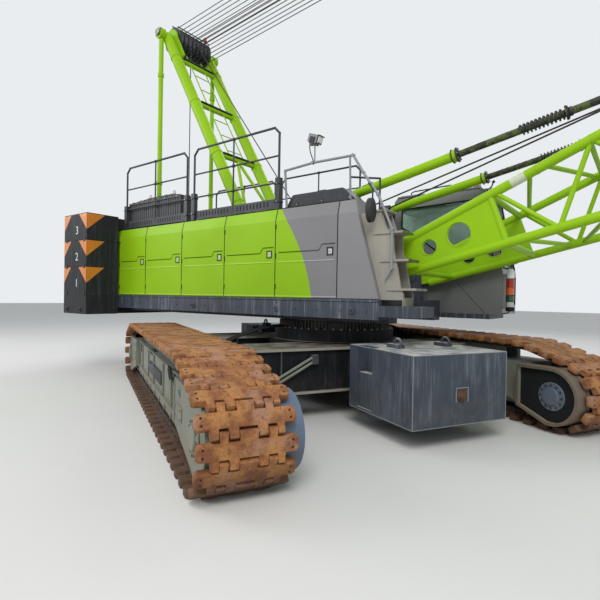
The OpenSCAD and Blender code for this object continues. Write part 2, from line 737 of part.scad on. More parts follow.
// Cab outline from the side, set in by a distance
cab_profile = [[cab_rear, cab_floor], [cab_front, cab_floor], [cab_front, 2400], [cab_front - 290, cab_roof - 110],
               [cab_front - 420, cab_roof], [cab_rear + 80, cab_roof], [cab_rear, cab_roof - 100]];
right_window = [[cab_rear + 170, 3330], [cab_rear + 410, 3190], [cab_rear + 1180, 2620], [cab_front - 160, 2620],
                [cab_front - 390, 3740], [cab_rear + 170, 3700]];
rear_window = [2760, 3700];
door_hole = [[cab_rear + 900, cab_floor + 90], [cab_front - 230, cab_floor + 90], [cab_front - 230, 2500], [cab_front - 440, 3740], [cab_rear + 900, 3740]];

module cab_shell() {
    color(grey) difference() {
        side_plate(cab_right, cab_right + cab_w) polygon(cab_profile);
        side_plate(cab_right + cab_wall, cab_right + cab_w - cab_wall) offset(delta = -cab_wall) polygon(cab_profile);
        side_plate(cab_right - 1, cab_right + cab_wall + 1) polygon(right_window);
        side_plate(cab_right + cab_w - cab_wall - 1, cab_right + cab_w + 1) polygon(door_hole);
        // Rear window
        box([cab_rear - 1, cab_right + 120, rear_window[0]], [cab_rear + cab_wall + 1, cab_right + cab_w - 120, rear_window[1]]);
        // Windshield, upper and lower
        box([cab_front - 420, cab_right + 80, 2480], [cab_front + 60, cab_right + cab_w - 80, cab_roof - 170]);
        box([cab_front - 60, cab_right + 80, cab_floor + 180], [cab_front + 60, cab_right + cab_w - 80, 2330]);
        // Roof hatch
        box([cab_rear + 700, cab_right + 180, cab_roof - cab_wall - 1], [cab_rear + 1400, cab_right + cab_w - 180, cab_roof + 1]);
    }
    // Guide the door hangs under
    color(grey) box([cab_rear + 10, cab_right + cab_w - 1, 3785 + seat], [cab_front - 400, cab_right + cab_w + cab_wall + 16, 3835]);
}

module pane(points, y0, t, lap) {
    side_plate(y0, y0 + t) offset(delta = lap) polygon(points);
}

module cab_glass() {
    t = 8;
    lap = 22;
    g = cab_wall + seat;
    slope = atan2(290, cab_roof - 110 - 2400);
    color("#9fc7b8", 0.4) {
        pane(right_window, cab_right + g, t, lap);
        box([cab_rear + g, cab_right + 100, rear_window[0] - lap], [cab_rear + g + t, cab_right + cab_w - 100, rear_window[1] + lap]);
        box([cab_front - g - t, cab_right + 60, cab_floor + 160], [cab_front - g, cab_right + cab_w - 60, 2345]);
        box([cab_rear + 680, cab_right + 160, cab_roof - g - t], [cab_rear + 1420, cab_right + cab_w - 160, cab_roof - g]);
        translate([cab_front, cab_right + 60, 2400]) rotate([0, -slope, 0]) translate([-g - t, 0, 82])
            cube([t, cab_w - 120, 1320]);
    }
}

module cab_door() {
    y = cab_right + cab_w + 6;
    leaf = [[cab_rear + 860, cab_floor + 50], [cab_front - 190, cab_floor + 50], [cab_front - 190, 2520], [cab_front - 410, 3785], [cab_rear + 860, 3785]];
    light = [[cab_rear + 940, 2600], [cab_front - 290, 2600], [cab_front - 470, 3690], [cab_rear + 940, 3690]];
    color(grey) {
        difference() {
            side_plate(y, y + cab_wall) polygon(leaf);
            side_plate(y - 1, y + cab_wall + 1) polygon(light);
        }
        box([cab_rear + 960, y + cab_wall - 1, 2330], [cab_rear + 1110, y + cab_wall + 34, 2370]);
    }
    color("#9fc7b8", 0.4) side_plate(y + 16, y + 24) offset(delta = 1) polygon(light);
}

module cab_seat() {
    y = cab_right + cab_w / 2;
    z = cab_floor + cab_wall + seat;
    color(dark) {
        translate([1500, y, z]) cylinder(r = 130, h = 330);
        hull() {
            box([1260, y - 240, z + 329], [1740, y + 240, z + 420]);
            box([1300, y - 210, z + 420], [1700, y + 210, z + 450]);
        }
        hull() {
            box([1200, y - 220, z + 420], [1300, y + 220, z + 440]);
            box([1080, y - 180, z + 1050], [1160, y + 180, z + 1100]);
        }
        for (side = [-1, 1]) box([1290, y + side * 283 - 44, z + 329], [1760, y + side * 283 + 44, z + 640]);
    }
}

module stack_light() {
    x = cab_front;
    y = cab_right + 90;
    z = 1800;
    color("#c8cace") box([x + seat, y - 60, z - 60], [x + 50, y + 60, z + 560]);
    color("red") translate([x + 110, y, z]) cylinder(r = 58, h = 460);
    color("#c8cace") translate([x + 45, y - 30, z + 40]) cube([40, 60, 30]);
    color("#c8cace") translate([x + 45, y - 30, z + 380]) cube([40, 60, 30]);
}

// Winch drum with flanges and hubs, lying across the bay
module drum(x) {
    z = deck_top + 500;
    span = 470 - seat;
    color(dark) {
        cross_pin(x, z, -span, span, 110);
        cross_pin(x, z, -430, 430, 270);
        for (side = [-1, 1]) cross_pin(x, z, side * 425 - 15, side * 425 + 15, 400);
    }
}
module winch_front() { drum(-50); }
module winch_middle() { drum(-1500); }
module winch_rear() { drum(-2950); }

gantry_foot = [gantry_foot_x, deck_top + 150];
gantry_head = [gantry_head_x, gantry_head_z];
function on_leg(t) = gantry_foot + t * (gantry_head - gantry_foot);

module gantry() {
    color(lime) {
        both_sides() {
            tube([gantry_foot[0], gantry_leg_y, gantry_foot[1]], [gantry_head[0], gantry_leg_y, gantry_head[1]], gantry_leg_d);
            cross_pin(gantry_foot[0], gantry_foot[1], gantry_leg_y - gantry_leg_d / 2 - 9.5, gantry_leg_y + gantry_leg_d / 2 + 4.5, 120);
        }
        // Steps between the legs
        for (t = [0.486, 0.70, 0.9])
            let (p = on_leg(t)) tube([p[0], -gantry_leg_y, p[1]], [p[0], gantry_leg_y, p[1]], 110);
        let (a = on_leg(0.2), b = on_leg(0.486)) both_sides() tube([a[0], gantry_leg_y, a[1]], [b[0], 0, b[1]], 70);
        // Head: cheek plates that hold the sheaves' shaft
        both_sides() side_plate(500, 540) union() {
            translate(gantry_head) circle(r = 230);
            let (b = on_leg(0.9)) polygon([gantry_head + [-190, -60], b + [-90, -40], b + [160, 80], gantry_head + [200, 60]]);
        }
        both_sides() cross_pin(gantry_head[0], gantry_head[1], 495, gantry_leg_y + 1, 80);
    }
}

module gantry_stays() {
    color(lime) both_sides() {
        tube([gantry_head[0], stay_y, deck_top + seat], [gantry_head[0], stay_y, gantry_head[1] - 100], 110);
        cross_pin(gantry_head[0], gantry_head[1], gantry_leg_y + gantry_leg_d / 2 + seat, stay_y + 80, 130);
    }
}

module sheave_row(x, z, half_w, count, r) {
    pitch = 2 * half_w / count;
    for (i = [0 : count - 1]) translate([x, -half_w + pitch * (i + 0.5), z]) rotate([90, 0, 0]) rotate_extrude()
        polygon([[50, -pitch * 0.42], [r, -pitch * 0.42], [r, -pitch * 0.3], [r - 45, 0], [r, pitch * 0.3], [r, pitch * 0.42], [50, pitch * 0.42]]);
    cross_pin(x, z, -half_w, half_w, 60);
}

module gantry_sheaves() {
    color(dark) sheave_row(gantry_head[0], gantry_head[1], 494.7, 8, 300);
}

// Boom. Own axes: X along it from the foot pins, Z towards its upper face
module boom_frame() {
    translate([foot_x, 0, foot_z]) rotate([0, -boom_angle, 0]) children();
}

taper_start = butt_len + insert_len + 400;
taper_end = boom_len - 900;
function share(s) = max(0, min(1, (s - taper_start) / (taper_end - taper_start)));
function half_depth(s) = s < butt_len ? foot_half_depth + depth_growth * s : full_half_depth + share(s) * (head_half_depth - full_half_depth);
function half_width(s) = chord_y + share(s) * (head_half_w - chord_y);
// Chord point: distance along, side and upper or lower face
function chord_at(s, side, up) = [s, side * half_width(s), up * half_depth(s)];

module lace(p, q) {
    v = (q - p) / norm(q - p);
    tube(p + 30 * v, q - 30 * v, lace_d);
}

// Zigzag lacing on all four faces, between the given stations; the upper face stays open in some bays
module lacing(stations, open_bays = []) {
    for (i = [0 : len(stations) - 2]) {
        a = stations[i];
        b = stations[i + 1];
        up = i % 2 == 0 ? 1 : -1;
        for (side = [-1, 1]) lace(chord_at(a, side, up), chord_at(b, side, -up));
        for (face = [-1, 1]) if (face < 0 || len(search(i, open_bays)) == 0)
            lace(chord_at(a + 90, face * up, face), chord_at(b - 90, -face * up, face));
    }
}

module chords(s0, s1) {
    for (side = [-1, 1], up = [-1, 1]) tube(chord_at(s0, side, up), chord_at(s1, side, up), chord_d);
}

// Pinned ends of the chords, where sections meet
module chord_ends(s, way) {
    for (side = [-1, 1], up = [-1, 1])
        translate(chord_at(s, side, up) - [way > 0 ? 0 : 190, 0, 0]) rotate([0, 90, 0]) cylinder(d = chord_d + 50, h = 190);
}

module foot_plates() {
    hole_rows = [[1100, 0, 115], [1560, 10, 170]];
    end = 2110;
    both_sides() difference() {
        side_plate(chord_y - 30, chord_y + 30) union() {
            circle(r = 150);
            polygon([[0, -150], [200, -half_depth(200)], [end, -half_depth(end)], [end, half_depth(end)], [200, half_depth(200)], [0, 150]]);
        }
        cross_pin(0, 0, chord_y - 40, chord_y + 40, foot_pin_r + 0.1);
        for (h = hole_rows) cross_pin(h[0], h[1], chord_y - 40, chord_y + 40, h[2]);
    }
}

module boom_butt() {
    stations = [2180, 2750, 3400, 4110, 4880, 5680, 6480];
    color(lime) boom_frame() {
        foot_plates();
        chords(260, butt_len - 189);
        chord_ends(butt_len, -1);
        lacing(stations, [2, 3]);
        for (s = [3380, 4900]) tube(chord_at(s, -1, 1), chord_at(s, 1, 1), lace_d);
        // End posts of the plates and cross tubes between them
        for (side = [-1, 1]) tube(chord_at(2110, side, -1), chord_at(2110, side, 1), 90);
        for (up = [-1, 1]) tube(chord_at(2110, -1, up), chord_at(2110, 1, up), 90);
        for (up = [-1, 1]) tube(chord_at(6650, -1, up), chord_at(6650, 1, up), lace_d);
        tube(chord_at(700, -1, -1), chord_at(700, 1, -1), 90);
        // Brackets for the backstops' eyes
        eye = to_boom([backstop_x + backstop_len * cos(backstop_angle), backstop_z + backstop_len * sin(backstop_angle)]);
        both_sides() side_plate(backstop_y + 62, backstop_y + 95) union() {
            translate(eye) circle(r = 110);
            polygon([[eye[0] - 330, half_depth(eye[0] - 330) - 20], [eye[0] + 330, half_depth(eye[0] + 330) - 20],
                     eye + [100, 0], eye - [100, 0]]);
        }
        both_sides() for (s = [eye[0] - 250, eye[0] + 250])
            box([s - 40, backstop_y + 62, half_depth(s) - 30], [s + 40, chord_y, half_depth(s) + 30]);
    }
}

module boom_insert() {
    s0 = butt_len + seat;
    s1 = butt_len + insert_len - seat;
    panel = insert_len / 8;
    color(lime) boom_frame() {
        chords(s0 + 189, s1 - 189);
        chord_ends(s0, 1);
        chord_ends(s1, -1);
        lacing([for (i = [0 : 6]) s0 + panel * (i + 1)]);
        for (s = [s0 + 350, s1 - 350], up = [-1, 1]) tube(chord_at(s, -1, up), chord_at(s, 1, up), lace_d);
    }
}

module boom_top() {
    s0 = butt_len + insert_len;
    panels = 10;
    panel = (taper_end - taper_start - 160) / panels;
    color(lime) boom_frame() {
        chords(taper_start, taper_end + 100);
        for (side = [-1, 1], up = [-1, 1]) {
            tube(chord_at(s0 + 189, side, up), chord_at(taper_start, side, up), chord_d);
            translate(chord_at(taper_start, side, up)) sphere(d = chord_d + 20);
        }
        chord_ends(s0, 1);
        lacing([for (i = [0 : panels]) taper_start + 120 + i * panel]);
        // Head: cheek plates with the sheaves' shaft and the jib's bore
        both_sides() difference() {
            side_plate(head_half_w - 25, head_half_w + 25) union() {
                translate([boom_len, -head_drop]) circle(r = 200);
                polygon([[taper_end - 60, -head_half_depth + 12], [boom_len - 170, -head_drop - 90], [boom_len + 195, -head_drop + 40],
                         [boom_len + 60, 250], [taper_end - 60, head_half_depth - 12]]);
            }
            cross_pin(boom_len - 30, 150, head_half_w - 40, head_half_w + 40, jib_bore_r);
        }
        for (up = [-1, 1]) tube([taper_end + 120, -head_half_w, up * 250], [taper_end + 120, head_half_w, up * 250], 90);
        // Lugs for the pendants
        both_sides() side_plate(head_half_w - 25, head_half_w + 25) polygon([[boom_len - 520, 200], [boom_len - 160, 200], [boom_len - 250, 420], [boom_len - 400, 420]]);
    }
}

module head_sheaves() {
    color(dark) boom_frame() sheave_row(boom_len, -head_drop, head_half_w - 25 - seat, 5, head_sheave_r);
}

// Pendants from the boom head towards the gantry's head, ending in the bridle
pendant_root = [boom_len - 325, 370];
pendant_len = 17000;
function to_boom(p) = let (dx = p[0] - foot_x, dz = p[1] - foot_z)
    [dx * cos(boom_angle) + dz * sin(boom_angle), -dx * sin(boom_angle) + dz * cos(boom_angle)];
pendant_way = let (g = to_boom(gantry_head), v = g - pendant_root) v / norm(v);
bridle = pendant_root + pendant_len * pendant_way;

module pendants() {
    y = head_half_w + 25 + seat;
    color(dark) boom_frame() {
        both_sides() {
            cross_pin(pendant_root[0], pendant_root[1], y, y + 70, 75);
            tube([pendant_root[0], y + 35, pendant_root[1]], [bridle[0], y + 35, bridle[1]], 44);
            side_plate(y, y + 70) translate(bridle) circle(r = 190);
            for (k = [0.25, 0.5, 0.75]) let (p = pendant_root + k * pendant_len * pendant_way)
                translate([p[0], y + 35, p[1]]) rotate([90, atan2(pendant_way[1], -pendant_way[0]), 0]) cube([420, 110, 64], center = true);
        }
        cross_pin(bridle[0], bridle[1], -y - 1, y + 1, 60);
        sheave_row(bridle[0], bridle[1], y - 20, 8, 250);
    }
}

module hook_block() {
    sheave_z = -690;
    sheave_r = 225;
    rope_x = sheave_r - 20;
    translate([tip_x, 0, tip_z]) {
        color("#d9a520") for (side = [-1, 1]) side_plate(side * 150 - 18, side * 150 + 18) union() {
            translate([0, sheave_z]) circle(r = sheave_r + 25);
            polygon([[-150, sheave_z - 80], [150, sheave_z - 80], [90, sheave_z - 340], [-90, sheave_z - 340]]);
        }
        color(dark) {
            translate([0, 0, sheave_z]) rotate([90, 0, 0]) cylinder(r = sheave_r, h = 266, center = true);
            cross_pin(0, sheave_z, -175, 175, 70);
            box([-80, -169, sheave_z - 335], [80, 169, sheave_z - 285]);
            translate([0, 0, sheave_z - 430]) cylinder(r = 50, h = 120);
            translate([10, 0, sheave_z - 520]) rotate([90, 0, 0]) rotate([0, 0, 120]) rotate_extrude(angle = 280) translate([95, 0]) circle(r = 38);
            // Rope parts up to the head sheaves
            for (side = [-1, 1], x = [-1, 1]) tube([x * rope_x, side * 60, sheave_z], [x * rope_x, side * 60, 0.4 - sqrt(pow(head_sheave_r, 2) - pow(rope_x - 14, 2)) - 0.8], 28);
        }
    }
}

// Backstops. Own axes: X along them from the lower pivot
module backstop_frame() {
    both_sides() translate([backstop_x, backstop_y, backstop_z]) rotate([0, -backstop_angle, 0]) children();
}

module backstop_tubes() {
    color(lime) backstop_frame() {
        difference() {
            union() {
                rotate([90, 0, 0]) cylinder(r = 85, h = 2 * (pedestal_in - seat), center = true);
                translate([60, 0, 0]) rotate([0, 90, 0]) cylinder(d = backstop_tube_d, h = backstop_tube_len - 60);
                translate([backstop_tube_len - 60, 0, 0]) rotate([0, 90, 0]) cylinder(d = backstop_tube_d + 40, h = 60);
            }
            translate([130, 0, 0]) rotate([0, 90, 0]) cylinder(d = backstop_rod_d + 0.6, h = backstop_tube_len);
            rotate([90, 0, 0]) cylinder(r = 40.1, h = 200, center = true);
        }
    }
}

spring_start = 2760;
spring_len = 560;
spring_collar = 22;
rod_start = 1300;

module backstop_rods() {
    color("#4c5a2c") backstop_frame() {
        translate([rod_start, 0, 0]) rotate([0, 90, 0]) cylinder(d = backstop_rod_d, h = backstop_len - rod_start - 80);
        translate([spring_start + spring_len + seat, 0, 0]) rotate([0, 90, 0]) cylinder(d = backstop_rod_d + 90, h = spring_collar);
        rotate([90, 0, 0]) translate([backstop_len, 0, 0]) cylinder(r = 100, h = 110, center = true);
    }
}

// Coil spring round the rod, as one swept helix
module backstop_springs() {
    turns = 11;
    steps = 12;
    sides = 6;
    wire_r = 13;
    coil_r = backstop_rod_d / 2 + wire_r + 3;
    rings = turns * steps;
    rise = (spring_len - 2 * wire_r) / rings;
    points = [for (i = [0 : rings], k = [0 : sides - 1])
        let (a = 360 * i / steps, b = 360 * k / sides, r = coil_r + wire_r * cos(b))
        [spring_start + wire_r + i * rise + wire_r * sin(b), r * cos(a), r * sin(a)]];
    faces = concat(
        [for (i = [0 : rings - 1], k = [0 : sides - 1]) [i * sides + k, i * sides + (k + 1) % sides, (i + 1) * sides + k]],
        [for (i = [0 : rings - 1], k = [0 : sides - 1]) [i * sides + (k + 1) % sides, (i + 1) * sides + (k + 1) % sides, (i + 1) * sides + k]],
        [[for (k = [sides - 1 : -1 : 0]) k]], [[for (k = [0 : sides - 1]) rings * sides + k]]);
    color(dark) backstop_frame() polyhedron(points, faces);
}

carbody();
slew_ring();
side_frame_right();
side_frame_left();
track_right();
track_left();
tumblers_right();
tumblers_left();
rollers_right();
rollers_left();
carbody_weight_front();
carbody_weight_rear();
revolving_frame();
slew_race();
side_deck_right();
side_deck_left();
house_right();
house_left();
front_panel();
door_1();
door_2();
door_3();
door_4();
door_5();
engine_block();
roof_cover();
air_outlet();
roof_rails();
roof_walkway();
front_steps();
front_rail();
rear_mirror();
work_lamp();
counterweight_tray();
counterweight_layer_1();
counterweight_layer_2();
counterweight_layer_3();
cab_shell();
cab_glass();
cab_door();
cab_seat();
stack_light();
winch_front();
winch_middle();
winch_rear();
gantry();
gantry_stays();
gantry_sheaves();
boom_butt();
boom_insert();
boom_top();
head_sheaves();
pendants();
hook_block();
backstop_tubes();
backstop_rods();
backstop_springs();
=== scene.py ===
"""Looks of a lattice boom crane on two tracks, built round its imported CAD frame."""

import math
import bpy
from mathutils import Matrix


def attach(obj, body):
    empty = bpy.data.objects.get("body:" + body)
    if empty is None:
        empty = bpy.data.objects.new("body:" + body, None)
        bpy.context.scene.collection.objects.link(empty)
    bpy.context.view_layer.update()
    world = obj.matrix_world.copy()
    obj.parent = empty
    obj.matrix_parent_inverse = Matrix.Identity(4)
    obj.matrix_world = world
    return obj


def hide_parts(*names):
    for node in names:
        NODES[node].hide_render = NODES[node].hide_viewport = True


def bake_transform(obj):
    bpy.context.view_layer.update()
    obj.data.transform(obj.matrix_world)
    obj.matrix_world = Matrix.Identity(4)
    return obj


bl_info = {
    "name": "Lattice Boom Crane",
    "version": (1, 0, 0),
    "blender": (4, 5, 0),
    "location": "3D View > Sidebar > Crane",
    "description": "Shoes, ropes, fittings and finishes for a lattice boom crane",
    "category": "Object",
}

import bmesh
import bpy
from mathutils import Matrix, Vector

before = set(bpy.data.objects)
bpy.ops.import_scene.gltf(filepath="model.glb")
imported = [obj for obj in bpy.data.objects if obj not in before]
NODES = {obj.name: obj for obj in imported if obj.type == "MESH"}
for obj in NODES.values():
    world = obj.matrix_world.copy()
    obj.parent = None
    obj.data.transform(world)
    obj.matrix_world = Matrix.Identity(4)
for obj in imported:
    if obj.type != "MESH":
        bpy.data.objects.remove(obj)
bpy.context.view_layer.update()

# Frames of the moving groups, in metres and degrees, as in the part's source
UNDER_TURN = -27.4
BOOM_ANGLE = 19.4
BOOM_FOOT = (1.25, 0.0, 2.30)
BOOM_LEN = 22.0
HEAD_DROP = 0.5
BACKSTOP_FOOT = (0.75, 0.76, 3.63)
BACKSTOP_ANGLE = 12.0
GANTRY_FOOT = Vector((-1.0, 0, 2.02))
GANTRY_HEAD = Vector((-4.58, 0, 8.2))
GANTRY_BARS = (0.486, 0.70, 0.9)
PENDANT_ROOT = Vector((21.675, 0, 0.37))
PENDANT_LEN = 17.0
TRACK_Y = {-1: -3.065, 1: 2.2}
TRACK_H = 1.27
TUMBLER_X = 3.435
TUMBLER_R = 0.53
SKID_R = 1.5
SLOPE = math.radians(15.5)
SHOE_COUNT = 68
SHOE_W = 0.95
SHOE_T = 0.096
BEAM_X = 1.1
DECK_TOP = 1.87
DRUM_Z = DECK_TOP + 0.5
DRUM_R = 0.2845
ROOF_Z = 3.41
DOOR_START = -5.348
DOOR_PITCH = 1.275
WALL_Y = -1.5
SIDES = (-1, 1)
TRACKS = ((-1, "right"), (1, "left"))


# Placing

def moved(x, y, z):
    return Matrix.Translation((x, y, z))


def turned(degrees, axis, at=(0, 0, 0)):
    return Matrix.Translation(at) @ Matrix.Rotation(math.radians(degrees), 4, axis)


UNDER = turned(UNDER_TURN, "Z")
BOOM = turned(-BOOM_ANGLE, "Y", BOOM_FOOT)
ON_EDGE = turned(90, "X")


def to_boom(point):
    return BOOM.inverted() @ Vector(point)


def circled(at, radius, count, axis="Y"):
    """Points evenly round a circle about an axis."""
    spots = []
    for k in range(count):
        a = 2 * math.pi * k / count
        u, v = radius * math.cos(a), radius * math.sin(a)
        way = {"X": (0, u, v), "Y": (u, 0, v), "Z": (u, v, 0)}[axis]
        spots.append(Vector(at) + Vector(way))
    return spots


# Modelling

def deselect():
    for thing in bpy.context.selected_objects:
        thing.select_set(False)


def only(piece):
    deselect()
    piece.select_set(True)
    bpy.context.view_layer.objects.active = piece


def settle(piece):
    """Puts a piece's place into its mesh and leaves its object at the origin."""
    piece.data.transform(piece.matrix_basis)
    piece.matrix_basis = Matrix()
    return piece


def bevelled(piece, width, segments=1):
    only(piece)
    modifier = piece.modifiers.new("Bevel", "BEVEL")
    modifier.width = width
    modifier.segments = segments
    modifier.limit_method = "ANGLE"
    modifier.angle_limit = 0.6
    bpy.ops.object.modifier_apply(modifier=modifier.name)
    return piece


def placed(piece, place):
    """Moves a piece's mesh to its place; a mirrored place turns the faces, so they are flipped back."""
    if place is not None:
        piece.data.transform(place)
        if place.determinant() < 0:
            piece.data.flip_normals()
    return piece


def block(lo, hi, bevel=0.0, place=None, segments=1):
    """A block between two corners, with its edges bevelled."""
    deselect()
    lo, hi = Vector(lo), Vector(hi)
    bpy.ops.mesh.primitive_cube_add(size=1, location=(lo + hi) / 2)
    piece = bpy.context.active_object
    piece.scale = hi - lo
    settle(piece)
    if bevel:
        bevelled(piece, bevel, segments)
    return placed(piece, place)


def brick(centre, half, bevel=0.0, place=None, segments=1):
    """A block about its centre, from half its size each way."""
    centre, half = Vector(centre), Vector(half)
    return block(centre - half, centre + half, bevel, place, segments)


def slab(face, out, thick, half, bevel=0.0, place=None):
    """A block standing out of a face along Y; half its size is given in X and Z."""
    x, y, z = face
    middle = (x, y + out * thick / 2, z)
    return brick(middle, (half[0], thick / 2, half[1]), bevel, place)


def rod(start, end, radius, sides=16, place=None, bevel=0.0, end_radius=None):
    """A round bar from one point to another."""
    deselect()
    start, end = Vector(start), Vector(end)
    way = end - start
    bpy.ops.mesh.primitive_cone_add(
        vertices=sides, radius1=radius, radius2=radius if end_radius is None else end_radius,
        depth=way.length, location=(start + end) / 2,
        rotation=way.to_track_quat("Z", "Y").to_euler())
    piece = settle(bpy.context.active_object)
    if bevel:
        bevelled(piece, bevel)
    return placed(piece, place)


def pin(at, reach, radius, sides=16, place=None, bevel=0.0):
    """A round bar about a point, reaching the same way to both sides."""
    at, reach = Vector(at), Vector(reach)
    return rod(at - reach, at + reach, radius, sides, place, bevel)


def post(foot, height, radius, sides=16, place=None, bevel=0.0, end_radius=None):
    """A round bar that stands up from its foot."""
    return rod(foot, Vector(foot) + Vector((0, 0, height)), radius, sides, place, bevel, end_radius)


def ring(centre, axis, radius, thick, sides=32, rounds=6, place=None):
    deselect()
    bpy.ops.mesh.primitive_torus_add(
        location=centre, rotation=Vector(axis).to_track_quat("Z", "Y").to_euler(),
        major_radius=radius, minor_radius=thick, major_segments=sides, minor_segments=rounds)
    return placed(settle(bpy.context.active_object), place)


def linked(name, data):
    piece = bpy.data.objects.new(name, data)
    bpy.context.collection.objects.link(piece)
    only(piece)
    return piece


def plate(outline, thick, place=None):
    """A flat plate: its outline in X and Y, extruded up along Z."""
    sketch = bmesh.new()
    face = sketch.faces.new([sketch.verts.new((p[0], p[1], 0)) for p in outline])
    sketch.normal_update()
    if face.normal.z > 0:
        face.normal_flip()
    mesh = bpy.data.meshes.new("plate")
    sketch.to_mesh(mesh)
    sketch.free()
    piece = linked("plate", mesh)
    bpy.ops.object.mode_set(mode="EDIT")
    bpy.ops.mesh.select_all(action="SELECT")
    bpy.ops.mesh.extrude_region_move(TRANSFORM_OT_translate={"value": (0, 0, thick)})
    bpy.ops.mesh.select_all(action="SELECT")
    bpy.ops.mesh.normals_make_consistent(inside=False)
    bpy.ops.object.mode_set(mode="OBJECT")
    return placed(piece, place)


def tube(points, radius, sides=6, smooth=False, place=None):
    """A bent pipe, hose or rope through points."""
    curve = bpy.data.curves.new("tube", "CURVE")
    curve.dimensions = "3D"
    curve.bevel_depth = radius
    curve.bevel_resolution = max(0, sides // 4 - 1)
    curve.use_fill_caps = True
    spline = curve.splines.new("NURBS" if smooth else "POLY")
    spline.points.add(len(points) - 1)
    for spot, point in zip(spline.points, points):
        spot.co = (*point, 1)
    if smooth:
        spline.order_u = 4
        spline.use_endpoint_u = True
        curve.resolution_u = 6
    linked("tube", curve)
    bpy.ops.object.convert(target="MESH")
    return placed(bpy.context.active_object, place)


def copies(piece, places):
    """Copies of a piece, each with its own mesh; the first one is used up as the pattern."""
    made = []
    for place in places:
        copy = piece.copy()
        copy.data = piece.data.copy()
        placed(copy, place)
        bpy.context.collection.objects.link(copy)
        made.append(copy)
    bpy.data.objects.remove(piece)
    return made


def joined(pieces, name):
    deselect()
    for piece in pieces:
        piece.select_set(True)
    bpy.context.view_layer.objects.active = pieces[0]
    if len(pieces) > 1:
        bpy.ops.object.join()
    piece = bpy.context.active_object
    piece.name = name
    piece.data.name = name
    return piece


def coloured(piece, material):
    piece.data.materials.clear()
    piece.data.materials.append(material)
    return piece


def finished(pieces, name, body, finish, smooth=35):
    """Joins pieces into one, gives it its finish, and lets it ride on a body."""
    piece = joined(pieces if isinstance(pieces, list) else [pieces], name)
    coloured(piece, FINISH[finish])
    only(piece)
    if smooth:
        bpy.ops.object.shade_smooth_by_angle(angle=math.radians(smooth))
    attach(piece, body)
    return piece


def bolts(spots, way, radius=0.018, height=0.014, place=None):
    """Hexagon bolt heads on their washers at spots, all standing out along one direction."""
    washer = post((0, 0, 0), height * 0.25, radius * 1.35, 12)
    head = rod((0, 0, height * 0.25), (0, 0, height), radius, 6)
    turn = Vector(way).to_track_quat("Z", "Y").to_matrix().to_4x4()
    outer = place or Matrix()
    return copies(joined([washer, head], "bolt"), [outer @ moved(*s) @ turn for s in spots])


# Finishes

def linear(hex_colour):
    """An sRGB hex colour as linear values."""
    raw = [int(hex_colour[i:i + 2], 16) / 255 for i in (1, 3, 5)]
    return (*[c / 12.92 if c <= 0.04045 else ((c + 0.055) / 1.055) ** 2.4 for c in raw], 1.0)


def hexed(colour):
    """A linear property colour as an sRGB hex value."""
    raw = [c * 12.92 if c <= 0.0031308 else 1.055 * c ** (1 / 2.4) - 0.055 for c in colour[:3]]
    return "#" + "".join(f"{max(0, min(255, round(c * 255))):02x}" for c in raw)


def add(tree, kind, links=None, **settings):
    """Adds one node with its settings, and the values or links of its inputs."""
    made = tree.nodes.new(kind)
    for key, value in settings.items():
        setattr(made, key, value)
    for key, value in (links or {}).items():
        if isinstance(value, bpy.types.NodeSocket):
            tree.links.new(value, made.inputs[key])
        else:
            made.inputs[key].default_value = value
    return made


def blank(name):
    material = bpy.data.materials.new(name)
    material.use_nodes = True
    tree = material.node_tree
    tree.nodes.clear()
    place = add(tree, "ShaderNodeTexCoord").outputs["Object"]
    return material, tree, place


def surfaced(tree, colour, rough, bump=None, **sockets):
    inputs = {key.replace("_", " "): value for key, value in sockets.items()}
    inputs.update({"Base Color": colour, "Roughness": rough})
    if bump is not None:
        inputs["Normal"] = bump
    shader = add(tree, "ShaderNodeBsdfPrincipled", inputs)
    add(tree, "ShaderNodeOutputMaterial", {"Surface": shader.outputs[0]})
    return shader


def noise(tree, place, scale, detail=4.0, rough=0.55, stretch=None):
    if stretch:
        place = add(tree, "ShaderNodeMapping", {"Vector": place, "Scale": stretch}).outputs[0]
    return add(tree, "ShaderNodeTexNoise",
               {"Vector": place, "Scale": scale, "Detail": detail, "Roughness": rough}).outputs["Fac"]


def between(tree, value, low, high, out_low=0.0, out_high=1.0):
    ends = {"Value": value, "From Min": low, "From Max": high, "To Min": out_low, "To Max": out_high}
    return add(tree, "ShaderNodeMapRange", ends, interpolation_type="SMOOTHSTEP").outputs[0]


def maths(tree, operation, a, b=0.0, c=0.0):
    return add(tree, "ShaderNodeMath", {0: a, 1: b, 2: c}, operation=operation).outputs[0]


def times(tree, a, b):
    return maths(tree, "MULTIPLY", a, b)


def blended(tree, factor, below, above):
    """Mixes two colours, hex or linked, by a factor."""
    below, above = (linear(c) if isinstance(c, str) else c for c in (below, above))
    return add(tree, "ShaderNodeMix", {0: factor, 6: below, 7: above}, data_type="RGBA").outputs[2]


def height_of(tree, place):
    return add(tree, "ShaderNodeSeparateXYZ", {0: place}).outputs[2]


def bumped(tree, height, strength, distance):
    inputs = {"Height": height, "Strength": strength, "Distance": distance}
    return add(tree, "ShaderNodeBump", inputs).outputs[0]


# X of the line where the doors change from lime to grey, as a square function of Z
DOOR_CURVE = (0.0918, 0.6166, -0.2031)
CHIP_COLOUR = "#5a4030"


